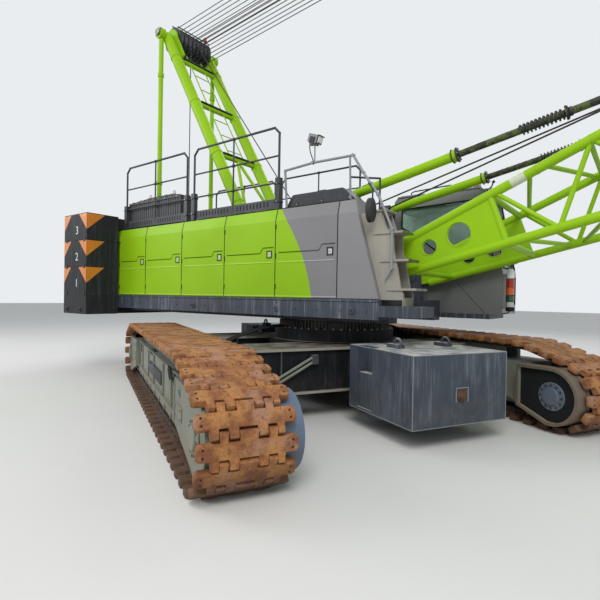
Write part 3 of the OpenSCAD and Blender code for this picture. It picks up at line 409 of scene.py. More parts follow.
def paint(name, base, shade=0.12, streaks=0.0, streak_colour="#8b8f96", dust=0.0, dust_colour="#a69a86",
          dust_top=1.6, chips=0.0, rough=0.42, gloss_coat=0.0, second=None, top_dust_and_light=0.0,
          streak_width=1.0, top_dust_and_light_colour=None, shine=0.5):
    """Sprayed paint: slight tone drift, rain streaks, dust from the ground, tops paler partly from dust and
    partly as painted light from above, stone chips.
    """
    material, tree, place = blank(name)
    broad = noise(tree, place, 0.9, 5)
    colour = linear(base)
    if second:
        a, b, c = DOOR_CURVE
        spot = add(tree, "ShaderNodeSeparateXYZ", {0: place}).outputs
        limit = maths(tree, "MULTIPLY_ADD", spot[2], maths(tree, "MULTIPLY_ADD", spot[2], c, b), a)
        side = between(tree, maths(tree, "SUBTRACT", spot[0], limit), -0.004, 0.004)
        colour = blended(tree, side, colour, second)
    colour = blended(tree, times(tree, between(tree, broad, 0.35, 0.7), shade), colour, (0, 0, 0, 1))
    if streaks:
        runs = noise(tree, place, 2.4, 6, 0.68, (7 / streak_width, 7 / streak_width, 0.35))
        fine = noise(tree, place, 5.0, 4, 0.6, (9, 9, 0.25))
        both = times(tree, between(tree, runs, 0.46, 0.66), between(tree, fine, 0.36, 0.68))
        colour = blended(tree, times(tree, both, streaks), colour, streak_colour)
    if dust:
        low = between(tree, height_of(tree, place), 0.1, dust_top, 1.0, 0.0)
        patchy = times(tree, low, between(tree, noise(tree, place, 6, 6, 0.65), 0.3, 0.75))
        colour = blended(tree, times(tree, patchy, dust), colour, dust_colour)
    # Up-facing faces turn paler: partly dust, partly painted light from above.
    if top_dust_and_light:
        up = height_of(tree, add(tree, "ShaderNodeNewGeometry").outputs["Normal"])
        lying = between(tree, noise(tree, place, 4, 6, 0.6), 0.2, 0.7)
        flat = times(tree, between(tree, up, 0.6, 0.95), lying)
        colour = blended(tree, times(tree, flat, top_dust_and_light), colour, top_dust_and_light_colour or dust_colour)
    if chips:
        spots = between(tree, noise(tree, place, 26, 5, 0.7), 0.655, 0.68)
        colour = blended(tree, times(tree, spots, chips), colour, CHIP_COLOUR)
    surfaced(tree, colour, between(tree, broad, 0.3, 0.7, rough - 0.05, rough + 0.10),
             bumped(tree, noise(tree, place, 160, 2), 0.06, 0.002),
             Coat_Weight=gloss_coat, Coat_Roughness=0.15, Specular_IOR_Level=shine)
    return material


def rusty(name, pale, deep, grain=9.0, low_dark=0.0, third=None):
    """Bare cast steel: blotchy orange rust with pitting, matt all over."""
    material, tree, place = blank(name)
    blotch = noise(tree, place, grain, 6, 0.65)
    speck = noise(tree, place, grain * 9, 4, 0.6)
    colour = blended(tree, between(tree, blotch, 0.36, 0.64), deep, pale)
    if third:
        drift = noise(tree, place, grain * 0.6, 4, 0.6, (1.3, 0.8, 1.1))
        colour = blended(tree, between(tree, drift, 0.5, 0.66, 0.0, 0.75), colour, third)
        stain = noise(tree, place, grain * 2.4, 5, 0.7)
        colour = blended(tree, between(tree, stain, 0.54, 0.68, 0.0, 0.7), colour, "#6b3f22")
    colour = blended(tree, between(tree, speck, 0.5, 0.72, 0.0, 0.45), colour, "#3d2a1e")
    if low_dark:
        low = between(tree, height_of(tree, place), 0.06, 0.42, low_dark, 0.0)
        colour = blended(tree, low, colour, "#3a3029")
    surfaced(tree, colour, 0.82, bumped(tree, speck, 0.5, 0.004))
    return material


def metal(name, base, rough, grain, grime, grime_colour="#2a241d", metallic=1.0):
    """Machined or worn steel with grime in patches."""
    material, tree, place = blank(name)
    patch = noise(tree, place, grain / 6, 5, 0.6)
    fine = noise(tree, place, grain, 3)
    colour = blended(tree, between(tree, patch, 0.45, 0.7, 0.0, grime), base, grime_colour)
    surfaced(tree, colour, between(tree, patch, 0.3, 0.75, rough, rough + 0.2),
             bumped(tree, fine, 0.08, 0.001), Metallic=metallic)
    return material


def mottled(name, base, grease, rubbed):
    """A chromed rod under old grease: dark brown patches, drips round it, and rubbed lighter spots."""
    material, tree, place = blank(name)
    patch = noise(tree, place, 13, 6, 0.62)
    drip = noise(tree, place, 30, 5, 0.6, (0.5, 1.4, 1.4))
    colour = blended(tree, between(tree, patch, 0.44, 0.53), base, grease)
    colour = blended(tree, between(tree, drip, 0.58, 0.66, 0.0, 0.5), colour, rubbed)
    surfaced(tree, colour, between(tree, patch, 0.4, 0.6, 0.28, 0.55), bumped(tree, patch, 0.35, 0.004),
             Metallic=0.15)
    return material


def rope_wire(name, base, grease):
    """Greased wire rope: fine bumps with grease between them."""
    material, tree, place = blank(name)
    fine = noise(tree, place, 90, 3)
    colour = blended(tree, between(tree, fine, 0.4, 0.65), base, grease)
    surfaced(tree, colour, 0.5, bumped(tree, fine, 0.3, 0.003), Metallic=0.6)
    return material


def rubber(name, base, rough):
    """Moulded rubber or matt black plastic."""
    material, tree, place = blank(name)
    fine = noise(tree, place, 120, 3)
    colour = blended(tree, between(tree, fine, 0.4, 0.7, 0.0, 0.15), base, "#4a4742")
    surfaced(tree, colour, rough, bumped(tree, fine, 0.15, 0.001), Specular_IOR_Level=0.25)
    return material


def tinted_glass(name, base):
    """Safety glass with a green tint."""
    material, tree, place = blank(name)
    film = between(tree, noise(tree, place, 3, 4), 0.3, 0.8, 0.02, 0.09)
    surfaced(tree, linear(base), film, Transmission_Weight=0.75, IOR=1.45, Alpha=0.8)
    return material


def lens(name, base, glow=0.0):
    """Coloured lamp lens of clear plastic with ribs."""
    material, tree, place = blank(name)
    ribs = bumped(tree, noise(tree, place, 60, 1, 0.5, (1, 1, 3)), 0.3, 0.003)
    shader = surfaced(tree, linear(base), 0.22, ribs, Coat_Weight=0.6, Coat_Roughness=0.05)
    if glow:
        shader.inputs["Emission Color"].default_value = linear(base)
        shader.inputs["Emission Strength"].default_value = glow
    return material


def fabric(name, base):
    """Woven seat cloth."""
    material, tree, place = blank(name)
    weave = add(tree, "ShaderNodeTexWave",
                {"Vector": place, "Scale": 60.0, "Distortion": 2.0, "Detail": 3.0}).outputs["Fac"]
    colour = blended(tree, between(tree, weave, 0.2, 0.8, 0.0, 0.4), base, "#3a3c42")
    surfaced(tree, colour, 0.9, bumped(tree, weave, 0.4, 0.002), Sheen_Weight=0.3)
    return material


def make_finishes():
    look = bpy.context.scene.crane_colours
    lime, grey = hexed(look.lime), hexed(look.grey)
    return {
        "lime": paint("lime_two_coat_paint", lime, 0.08, 0.06, "#6f9420", 0.06, dust_top=1.2, chips=0.05,
                      rough=0.45, shine=0.2),
        "door_lime": paint("lime_and_grey_door_paint", lime, 0.07, 0.05, "#6f9420", rough=0.45, shine=0.2,
                           second=grey),
        # Darker lime and darker grey for the tubes in the grooves: painted shade inside the pressed grooves.
        "groove": paint("door_groove_shaded_paint", "#55760f", 0.1, rough=0.6, shine=0.1, second="#5f5e60"),
        # The ridge paint is a lighter lime and a lighter grey: a painted highlight on the edges of the pressed
        # ridges.
        "ridge": paint("door_ridge_highlight_lime_paint", "#a9d646", 0.05, 0.04, "#7fa42e", rough=0.4, gloss_coat=0.1,
                       second="#a6a5a6"),
        "grey": paint("grey_two_coat_paint", grey, 0.08, 0.08, "#6b6965", 0.15, chips=0.06, rough=0.4,
                      gloss_coat=0.2),
        "frame_grey": paint("side_frame_grey_paint", "#82887c", 0.18, 0.3, "#5d5f56", 0.75, "#8a7359", 1.15,
                            chips=0.35, rough=0.6),
        # The blue-grey base is painted sky light on the nose housings and inner hubs; its streaks, dust and
        # chips are real wear.
        "nose_sky_lit": paint("nose_plate_sky_lit_paint", "#5b6b80", 0.18, 0.3, "#8d949b", 0.55, "#7d6a54",
                           0.9, chips=0.4, rough=0.55),
        "dark": paint("blue_black_structure_paint", hexed(look.dark), 0.25, 0.35, "#8b8f96", 0.45, "#8d8069",
                      1.3, chips=0.25, rough=0.55, top_dust_and_light=0.45),
        "deck": paint("deck_blue_black_paint", "#3b414d", 0.25, 0.75, "#8d929b", 0.1, chips=0.3, rough=0.55,
                      top_dust_and_light=0.4),
        # The weight's near-white tops are partly dust, partly painted light from above.
        "weight": paint("cast_weight_dark_paint", "#414853", 0.25, 0.5, "#8b919a", 0.35, "#77736b", 0.9,
                        chips=0.3, rough=0.6, top_dust_and_light=0.95, streak_width=5.0, top_dust_and_light_colour="#c6c4bf",
                        shine=0.35),
        "band": paint("weight_worn_band_paint", "#585d64", 0.3, 0.9, "#a2a5a7", 0.3, chips=0.4, rough=0.65,
                      streak_width=2.5),
        "edge": paint("worn_pale_edge_paint", "#8f959b", 0.3, 0.4, "#5c6068", chips=0.5, rough=0.6),
        # The carbody's paler tops are partly dust, partly painted light from above.
        "body": paint("carbody_black_paint", "#17191c", 0.25, 0.25, "#5d6068", 0.35, "#6f675a", 0.9,
                      chips=0.3, rough=0.55, top_dust_and_light=0.85, streak_width=3.0, top_dust_and_light_colour="#8f8778",
                      shine=0.2),
        "housing": paint("housing_dusty_brown_paint", "#6f6458", 0.25, 0.3, "#8f857a", 0.6, "#8a6a4c", 0.9,
                         chips=0.4, rough=0.65, top_dust_and_light=0.5),
        "counterweight": paint("counterweight_dark_paint", "#282a2d", 0.2, 0.3, "#6c6e72", chips=0.2,
                               rough=0.55, top_dust_and_light=0.35, shine=0.2),
        "rail": paint("rail_dark_paint", "#2c2f34", 0.2, 0.2, "#6c6f73", chips=0.2, rough=0.5, top_dust_and_light=0.25),
        "pale_rail": paint("hand_rail_grey_paint", "#8b8d92", 0.1, 0.15, "#6c6a66", chips=0.15, rough=0.45),
        "beige": paint("step_beige_paint", "#9e9a8e", 0.15, 0.4, "#7b7364", 0.2, chips=0.25, rough=0.6,
                       top_dust_and_light=0.4),
        "cab": paint("cab_grey_paint", "#747474", 0.1, 0.12, "#5e5d5b", 0.2, chips=0.05, rough=0.38,
                     gloss_coat=0.2),
        "orange": paint("reflective_orange_film", "#d77d28", 0.12, 0.15, "#8c5a28", chips=0.15, rough=0.35,
                        gloss_coat=0.4),
        "pale_socket": paint("pale_lamp_socket_plastic", "#cfd1d0", 0.08, 0.1, "#8a8a88", rough=0.3),
        "white": paint("white_stencil_paint", "#d9dbdd", 0.15, 0.2, "#7b7c80", chips=0.25, rough=0.5),
        "yellow": paint("signal_yellow_paint", "#d9a520", 0.12, 0.2, "#6b5420", chips=0.3, rough=0.4,
                        gloss_coat=0.2),
        "black": paint("black_steel_paint", "#202226", 0.2, 0.15, "#55565a", chips=0.1, rough=0.5,
                       top_dust_and_light=0.2),
        "label": paint("blank_label_film", "#c9d2b4", 0.1, rough=0.35),
        "shoe": rusty("rusty_cast_shoe_steel", "#ae7843", "#7d4a2b", 5.0, 0.8, "#ab8068"),
        # Core holes are dark discs on the pads: painted shade inside the holes.
        "hole": rusty("core_hole_painted_shade", "#2a1d15", "#17110d", 20.0),
        "belt": rusty("brown_link_steel", "#5d4430", "#33261d", 8.0, 0.5),
        "roller": metal("greasy_roller_steel", "#4b4845", 0.45, 40, 0.6, "#1c1814", 0.6),
        "steel": metal("worn_bare_steel", "#8a8883", 0.35, 50, 0.35),
        "chrome": metal("polished_pin_steel", "#b9bbbc", 0.22, 80, 0.15),
        "grease_rod": mottled("greasy_mottled_rod", "#4d5a26", "#26231a", "#7b7c48"),
        "rope": rope_wire("greased_wire_rope", "#4c4a45", "#1b1915"),
        "rubber": rubber("black_moulded_rubber", "#17181a", 0.7),
        "hose": rubber("hydraulic_hose_rubber", "#1c1d20", 0.55),
        "glass": tinted_glass("green_tinted_safety_glass", "#c4e2d2"),
        "mirror": metal("silvered_mirror_glass", "#d4d8da", 0.04, 20, 0.05),
        "red_lens": lens("red_lens_plastic", "#a91a12", 0.08),
        "amber_lens": lens("amber_lens_plastic", "#cc5c18", 0.08),
        "green_lens": lens("green_lens_plastic", "#145232"),
        "clear_lens": lens("clear_lens_plastic", "#dfe3e6", 0.1),
        "screen": lens("dark_screen_plastic", "#10151b"),
        "cloth": fabric("black_seat_cloth", "#17181c"),
    }


FINISH = {}

NODE_FINISH = {
    "carbody": "body", "slew_ring": "roller", "side_frame": "frame_grey", "track": "shoe",
    "tumblers": "roller", "rollers": "roller", "carbody_weight": "weight", "revolving_frame": "dark",
    "slew_race": "steel", "side_deck": "deck", "house_right": "door_lime", "house_left": "lime",
    "front_panel": "grey", "door_": "door_lime", "engine_block": "roller", "roof_cover": "rail",
    "air_outlet": "rail", "roof_rails": "rail", "roof_walkway": "rail", "front_steps": "beige",
    "front_rail": "pale_rail", "rear_mirror": "black", "work_lamp": "grey",
    "counterweight": "counterweight", "cab_shell": "cab", "cab_glass": "glass", "cab_door": "cab",
    "cab_seat": "cloth", "stack_light": "grey", "winch": "black", "gantry_sheaves": "black",
    "gantry": "lime", "gantry_stays": "lime", "boom": "lime", "head_sheaves": "black",
    "pendants": "steel", "hook_block": "yellow", "backstop_tubes": "lime",
    "backstop_rods": "grease_rod", "backstop_springs": "black",
}


def finish_of(node):
    fits = [key for key in NODE_FINISH if node.startswith(key)]
    return NODE_FINISH[max(fits, key=len)]


# Settings a user would change

def colour_setting(name, hint, hex_colour):
    return bpy.props.FloatVectorProperty(name=name, description=hint, subtype="COLOR", size=3, min=0, max=1,
                                         default=linear(hex_colour)[:3])


def size_setting(name, hint, default, low, high):
    return bpy.props.FloatProperty(name=name, description=hint, unit="LENGTH", default=default, min=low,
                                   max=high)


class CraneColours(bpy.types.PropertyGroup):
    """Colours of the crane's paint."""
    lime: colour_setting("Lime", "Paint of the boom, the gantry and the doors", "#92c012")
    grey: colour_setting("Grey", "Paint of the front panel and of the foremost door", "#858385")
    dark: colour_setting("Dark", "Paint of the carbody's stiffeners and of the revolving frame", "#3a3d46")


class CraneSizes(bpy.types.PropertyGroup):
    """Sizes of the fittings that are not in the frame."""
    rope: size_setting("Rope", "Diameter of the wire ropes", 0.028, 0.01, 0.05)
    hose: size_setting("Hose", "Diameter of the hydraulic hoses", 0.03, 0.01, 0.06)
    latch: size_setting("Latch", "Width of a door latch", 0.12, 0.06, 0.16)


# Stage

CAMERA_SPOT = (4.882, -7.470, 1.901)
CAMERA_TURNS = (127.472, -0.438, 0.968)  # yaw, pitch and roll
CAMERA_LENS = 27.24
LIGHTS = (("key_light", (9, -14, 16), (-1, 0, 2), 9, 2300),
          ("fill_light", (-14, -10, 10), (-2, 0, 2), 9, 900),
          ("back_light", (-4, 14, 14), (0, 0, 3), 10, 1100))


class CRANE_OT_stage(bpy.types.Operator):
    """Lays the pale floor, hangs the soft lights and sets the camera."""
    bl_idname = "crane.stage"
    bl_label = "Stage"

    def execute(self, context):
        deselect()
        bpy.ops.mesh.primitive_plane_add(size=160, location=(0, 0, -0.002))
        floor = settle(context.active_object)
        floor.name = "floor"
        material, tree, place = blank("pale_floor")
        tone = between(tree, noise(tree, place, 0.35, 4), 0.3, 0.7, 0.0, 0.05)
        surfaced(tree, blended(tree, tone, "#dcdad6", "#a5a19a"), 0.85)
        coloured(floor, material)
        self.light(context.scene)
        self.look(context.scene)
        return {"FINISHED"}

    def light(self, scene):
        """A soft sky that is brighter to the eye than as a lamp, and three area lights."""
        scene.world = bpy.data.worlds.new("soft_sky")
        scene.world.use_nodes = True
        tree = scene.world.node_tree
        tree.nodes.clear()
        path = add(tree, "ShaderNodeLightPath").outputs
        seen = maths(tree, "MAXIMUM", path["Is Camera Ray"],
                     maths(tree, "MAXIMUM", path["Is Glossy Ray"], path["Is Transmission Ray"]))
        light = add(tree, "ShaderNodeBackground", {"Color": linear("#e4ebf2"), "Strength": 0.62})
        sky = add(tree, "ShaderNodeBackground", {"Color": linear("#e9edf0"), "Strength": 1.0})
        both = add(tree, "ShaderNodeMixShader", {0: seen, 1: light.outputs[0], 2: sky.outputs[0]})
        add(tree, "ShaderNodeOutputWorld", {"Surface": both.outputs[0]})
        for name, spot, aim, size, power in LIGHTS:
            bpy.ops.object.light_add(type="AREA", location=spot)
            lamp = bpy.context.active_object
            lamp.name = name
            lamp.data.size = size
            lamp.data.energy = power
            lamp.rotation_euler = (Vector(aim) - Vector(spot)).to_track_quat("-Z", "Y").to_euler()

    def look(self, scene):
        """The camera at the photograph's place and angle."""
        yaw, pitch, roll = (math.radians(a) for a in CAMERA_TURNS)
        ahead = Vector((math.cos(yaw) * math.cos(pitch), math.sin(yaw) * math.cos(pitch), math.sin(pitch)))
        level = Vector((math.sin(yaw), -math.cos(yaw), 0))
        upright = level.cross(ahead)
        across = level * math.cos(roll) + upright * math.sin(roll)
        up = upright * math.cos(roll) - level * math.sin(roll)
        bpy.ops.object.camera_add()
        camera = bpy.context.active_object
        camera.name = "photo_camera"
        camera.data.sensor_width = 36
        camera.data.lens = CAMERA_LENS
        camera.data.clip_end = 400
        camera.matrix_world = moved(*CAMERA_SPOT) @ Matrix((across, up, -ahead)).transposed().to_4x4()
        scene.camera = camera
        scene.view_settings.view_transform = "Standard"


class CRANE_OT_finishes(bpy.types.Operator):
    """Gives each node of the frame the finish of the real piece."""
    bl_idname = "crane.finishes"
    bl_label = "Frame finishes"

    def execute(self, context):
        FINISH.update(make_finishes())
        for name, thing in NODES.items():
            coloured(thing, FINISH[finish_of(name)])
        return {"FINISHED"}


# Undercarriage

SKID_PITCH = SKID_R - SHOE_T / 2
TUMBLER_PITCH = TUMBLER_R - SHOE_T / 2
SKID_Z = TRACK_H - SKID_R
SKID_X = TUMBLER_X - (SKID_R - TUMBLER_R - (TUMBLER_R - SKID_Z) * math.cos(SLOPE)) / math.sin(SLOPE)
SLOPE_START = SKID_X + SKID_PITCH * SLOPE
SLOPE_END = SLOPE_START + math.sqrt(
    (TUMBLER_X - SKID_X) ** 2 + (TUMBLER_R - SKID_Z) ** 2 - (SKID_R - TUMBLER_R) ** 2)
ARC_END = SLOPE_END + TUMBLER_PITCH * (math.pi - SLOPE)
HALF_RUN = ARC_END + TUMBLER_X
SHOE_PITCH = 2 * HALF_RUN / SHOE_COUNT


def half_track(run):
    """X, Z and slope of the pitch line at a distance from the middle of the top run, towards the front."""
    if run < SKID_X:
        return run, TRACK_H - SHOE_T / 2, 0.0
    if run < SLOPE_START:
        turn = (run - SKID_X) / SKID_PITCH
        return SKID_X + SKID_PITCH * math.sin(turn), SKID_Z + SKID_PITCH * math.cos(turn), turn
    if run < SLOPE_END:
        gone = run - SLOPE_START
        return (SKID_X + SKID_PITCH * math.sin(SLOPE) + gone * math.cos(SLOPE),
                SKID_Z + SKID_PITCH * math.cos(SLOPE) - gone * math.sin(SLOPE), SLOPE)
    if run < ARC_END:
        turn = SLOPE + (run - SLOPE_END) / TUMBLER_PITCH
        return TUMBLER_X + TUMBLER_PITCH * math.sin(turn), TUMBLER_R + TUMBLER_PITCH * math.cos(turn), turn
    return TUMBLER_X - (run - ARC_END), SHOE_T / 2, math.pi


def beside_track(side):
    """Frame of one track: X forward, Y inwards, Z up, from the middle of the track on the ground."""
    return UNDER @ moved(0, TRACK_Y[side], 0) @ Matrix.Scale(-side, 4, (0, 1, 0))


def track_place(number, side):
    """Place of a shoe on its track: X along the run, Z outwards."""
    run = number * SHOE_PITCH
    if run < HALF_RUN:
        x, z, turn = half_track(run)
    else:
        x, z, turn = half_track(2 * HALF_RUN - run)
        x, turn = -x, 2 * math.pi - turn
    return UNDER @ moved(x, TRACK_Y[side], z) @ Matrix.Rotation(turn, 4, "Y")


def toothed(edge, tip, root):
    """One long edge of the shoe's middle band: tongues alternate with gaps."""
    points = []
    for low, high in edge:
        points += [(root, low), (tip, low + 0.008), (tip, high - 0.008), (root, high)]
    return points


def cast_shoe():
    """One cast shoe: pad ends with cut corners, and a band whose tongues reach into the next shoe."""
    half, cut, band = SHOE_W / 2 - 0.001, 0.022, 0.352
    front, rear = 0.072, -0.076
    outline = [(front, cut - half), (front, -band)]
    outline += toothed([(-0.350, -0.272), (-0.185, -0.088), (0.088, 0.185), (0.272, 0.350)], 0.165, front)
    outline += [(front, band), (front, half - cut), (front - cut, half), (rear + cut, half),
                (rear, half - cut), (rear, band)]
    outline += toothed([(0.266, 0.194), (0.082, -0.082), (-0.194, -0.266)], -0.166, rear)
    outline += [(rear, -band), (rear, cut - half), (rear + cut, -half), (front - cut, -half)]
    return plate(outline, 0.080, moved(0, 0, -0.032))


class CRANE_OT_tracks(bpy.types.Operator):
    """Casts the shoes with their interlocking tongues and lays them round both tracks."""
    bl_idname = "crane.tracks"
    bl_label = "Track shoes"

    def execute(self, context):
        link_low, link_high = -0.098, -0.030
        for side, word in TRACKS:
            places = [track_place(i, side) for i in range(SHOE_COUNT)]
            shoes = finished(copies(bevelled(cast_shoe(), 0.006), places), f"shoes_{word}",
                             "undercarriage", "shoe")
            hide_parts(f"track_{word}")
            # Dark discs near each end of a pad as painted shade in its core holes, then links, guide horns and
            # pins under the shoe
            holes = [post((x, end * 0.42, 0.0470), 0.0016, 0.013, 8) for end in SIDES for x in (-0.036, 0.034)]
            lugs = [block((-0.118, y - 0.045, link_low), (0.118, y + 0.045, link_high), 0.01)
                    for y in (-0.235, 0.235)]
            lugs.append(block((-0.055, -0.055, link_low), (0.055, 0.055, link_high), 0.012))
            pins = [rod((0.1235, y0, -0.064), (0.1235, y1, -0.064), 0.017, 8)
                    for y0, y1 in ((-0.29, -0.17), (0.17, 0.29))]
            for name, pieces, finish in (("holes", holes, "hole"), ("links", lugs, "belt"),
                                         ("pins", pins, "steel")):
                finished(copies(joined(pieces, name), places), f"shoe_{name}_{word}", "undercarriage", finish)
        return {"FINISHED"}


class CRANE_OT_side_frames(bpy.types.Operator):
    """Web plates, covers, hoses, rims and bolts on the side frames, their tumblers and their rollers."""
    bl_idname = "crane.side_frames"
    bl_label = "Side frames"

    def execute(self, context):
        for side, word in TRACKS:
            place = beside_track(side)
            self.noses(place, side, word)
            self.webs(place, word, context.scene.crane_sizes.hose / 2)
            self.sprockets(place, word)
        return {"FINISHED"}

    def noses(self, place, side, word):
        """Nose plates with their hubs and bolt rings, the housing's skin and sunk face, the adjuster's cover,
        and black discs as painted shade in the lifting holes; the inner hubs and the right track's skin are
        blue-grey as painted sky light, and the sunk face is a black plate as painted shade.
        """
        outer_y, inner_y, panel_y = -0.371, 0.5395, -0.384
        back, rim_r, face_r = 2.876, 0.416, 0.377
        trim, sky_lit_hubs, bright, skins, faces, hole_shade_discs = [], [], [], [], [], []
        for end in SIDES:
            for y, out in ((outer_y, -1), (inner_y, 1)):
                hub = Vector((end * TUMBLER_X, y, TUMBLER_R))
                # Inner hubs get the blue-grey paint as painted sky light; outer hubs keep the frame's grey.
                hubs = sky_lit_hubs if out > 0 else trim
                for thick, radius, sides, bevel in ((0.022, 0.205, 32, 0.006), (0.045, 0.125, 24, 0.008)):
                    hubs.append(rod(hub, hub + Vector((0, out * thick, 0)), radius, sides, place, bevel))
                spots = circled(hub + Vector((0, out * 0.022, 0)), 0.165, 12)
                bright += bolts(spots, (0, out, 0), 0.013, 0.014, place)
            outlines = []
            for radius, start, stop in ((rim_r, (back, 0.926), [(back, 0.302), (back, 0.925)]),
                                        (face_r, (2.9145, 0.8865), [(2.9145, 0.328), (2.9145, 0.8855)])):
                angles = [math.radians(90 - 10 * k) for k in range(20)]
                arc = [(TUMBLER_X + radius * math.cos(a), TUMBLER_R + radius * math.sin(a)) for a in angles]
                outlines.append([start] + arc + stop)
            outer, inner = outlines
            skin = [(end * x, z) for x, z in outer + inner[::-1]]
            skins.append(plate(skin, 0.228, place @ moved(0, 0.600, 0) @ ON_EDGE))
            # The sunk face is a thin black plate: painted shade in the recess of the housing.
            faces.append(plate([(end * x, z) for x, z in inner], 0.003, place @ moved(0, inner_y, 0) @ ON_EDGE))
            # Outer nose panel: edge strip, lifting hole with a black disc in it as painted shade, and the track
            # adjuster's cover
            trim.append(brick((end * 2.315, -0.3755, 0.66), (0.015, 0.0065, 0.24), 0.004, place))
            hole_shade_discs.append(pin((end * 2.62, -0.36925, 0.80), (0, 0.00325, 0), 0.045, 20, place))
            trim.append(ring((end * 2.62, -0.3725, 0.80), (0, 1, 0), 0.05, 0.008, 24, 6, place))
            trim.append(brick((end * 2.60, -0.3765, 0.58), (0.18, 0.0075, 0.08), 0.008, place))
            corners = [(end * x, panel_y, z) for x in (2.46, 2.74) for z in (0.53, 0.63)]
            bright += bolts(corners, (0, -1, 0), 0.011, 0.010, place)
        # The sunk faces are black plates of painted shade.
        self.parts = {"trim": trim, "covers": hole_shade_discs, "bolts": bright, "sunk": faces}
        finished(sky_lit_hubs, f"nose_hubs_{word}", "undercarriage", "nose_sky_lit")
        # The right track's skin is blue-grey as painted sky light; the left one keeps the housing's brown.
        finished(skins, f"housing_skins_{word}", "undercarriage", "nose_sky_lit" if side < 0 else "housing")

    def webs(self, place, word, hose_r):
        """Webs between the openings, ledges, the long dark cover, rims and hoses."""
        trim, covers, bright, faces = (self.parts[key] for key in ("trim", "covers", "bolts", "sunk"))
        web_y, rim_y = -0.286, -0.293
        for x in (-1.70, -0.78, -0.06, 0.95, 1.68):
            trim.append(brick((x, -0.303, 0.68), (0.016, 0.015, 0.24), 0.004, place))
        trim.append(block((-2.26, -0.335, 0.408), (2.26, web_y, 0.428), 0.004, place))
        trim.append(block((-2.26, -0.325, 0.914), (2.26, web_y, 0.930), 0.004, place))
        covers.append(block((-0.58, -0.332, 0.56), (0.90, -0.288, 0.73), 0.010, place, 2))
        spots = [(x, -0.332, z) for x in (-0.52, 0.16, 0.84) for z in (0.59, 0.70)]
        bright += bolts(spots, (0, -1, 0), 0.012, 0.010, place)
        rims, high = [], 0.925
        for x0, x1, low in ((1.75, 2.25, 0.700), (-2.25, -1.75, 0.700), (-0.70, -0.12, 0.844)):
            # A black plate at the back of each opening is painted shade inside the frame.
            faces.append(block((x0 + 0.003, -0.206, low + 0.003), (x1 - 0.003, -0.2005, 0.926), 0.0, place))
            path = [(x0, rim_y, high), (x0, rim_y, low), (x1, rim_y, low), (x1, rim_y, high)]
            rims.append(tube(path, 0.009, place=place))
        # Hydraulic hoses from the carbody into the front opening
        path = ((1.98, -0.25, 0.74), (1.93, -0.34, 0.80), (1.85, -0.36, 0.95), (1.74, -0.335, 0.98),
                (1.62, -0.33, 0.90), (1.62, -0.30, 0.76))
        hoses = [tube([(x - shift, y, z) for x, y, z in path], hose_r, 8, True, place) for shift in (0, 0.07)]
        finished(trim, f"web_trim_{word}", "undercarriage", "frame_grey")
        finished(covers, f"web_covers_{word}", "undercarriage", "black")
        finished(bright, f"web_bolts_{word}", "undercarriage", "steel")
        finished(rims, f"web_rims_{word}", "undercarriage", "beige")
        # These plates take the black rubber finish as painted shade.
        finished(faces, f"painted_shade_faces_{word}", "undercarriage", "rubber")
        finished(hoses, f"web_hoses_{word}", "undercarriage", "hose")

    def sprockets(self, place, word):
        """Teeth on the drive tumblers, and flanges with grease plugs on the bottom rollers."""
        teeth, flanges, plugs = [], [], []
        for end in SIDES:
            for k in range(12):
                turn = turned(30 * k, "Y", (end * TUMBLER_X, 0, TUMBLER_R))
                teeth.append(block((-0.045, -0.075, 0.24), (0.045, 0.075, 0.362), 0.012, place @ turn))
        roller_z = 0.2765
        for k in range(11):
            x = -2.665 + 0.533 * k
            for out in SIDES:
                for pieces, near, far, radius, sides, bevel in (
                        (flanges, 0.073, 0.098, 0.148, 24, 0.004), (plugs, 0.291, 0.305, 0.042, 12, 0.003)):
                    pieces.append(rod((x, out * near, roller_z), (x, out * far, roller_z), radius, sides, place,
                                      bevel))
        finished(teeth, f"drive_teeth_{word}", "undercarriage", "roller")
        finished(flanges, f"roller_flanges_{word}", "undercarriage", "roller")
        finished(plugs, f"roller_caps_{word}", "undercarriage", "steel")


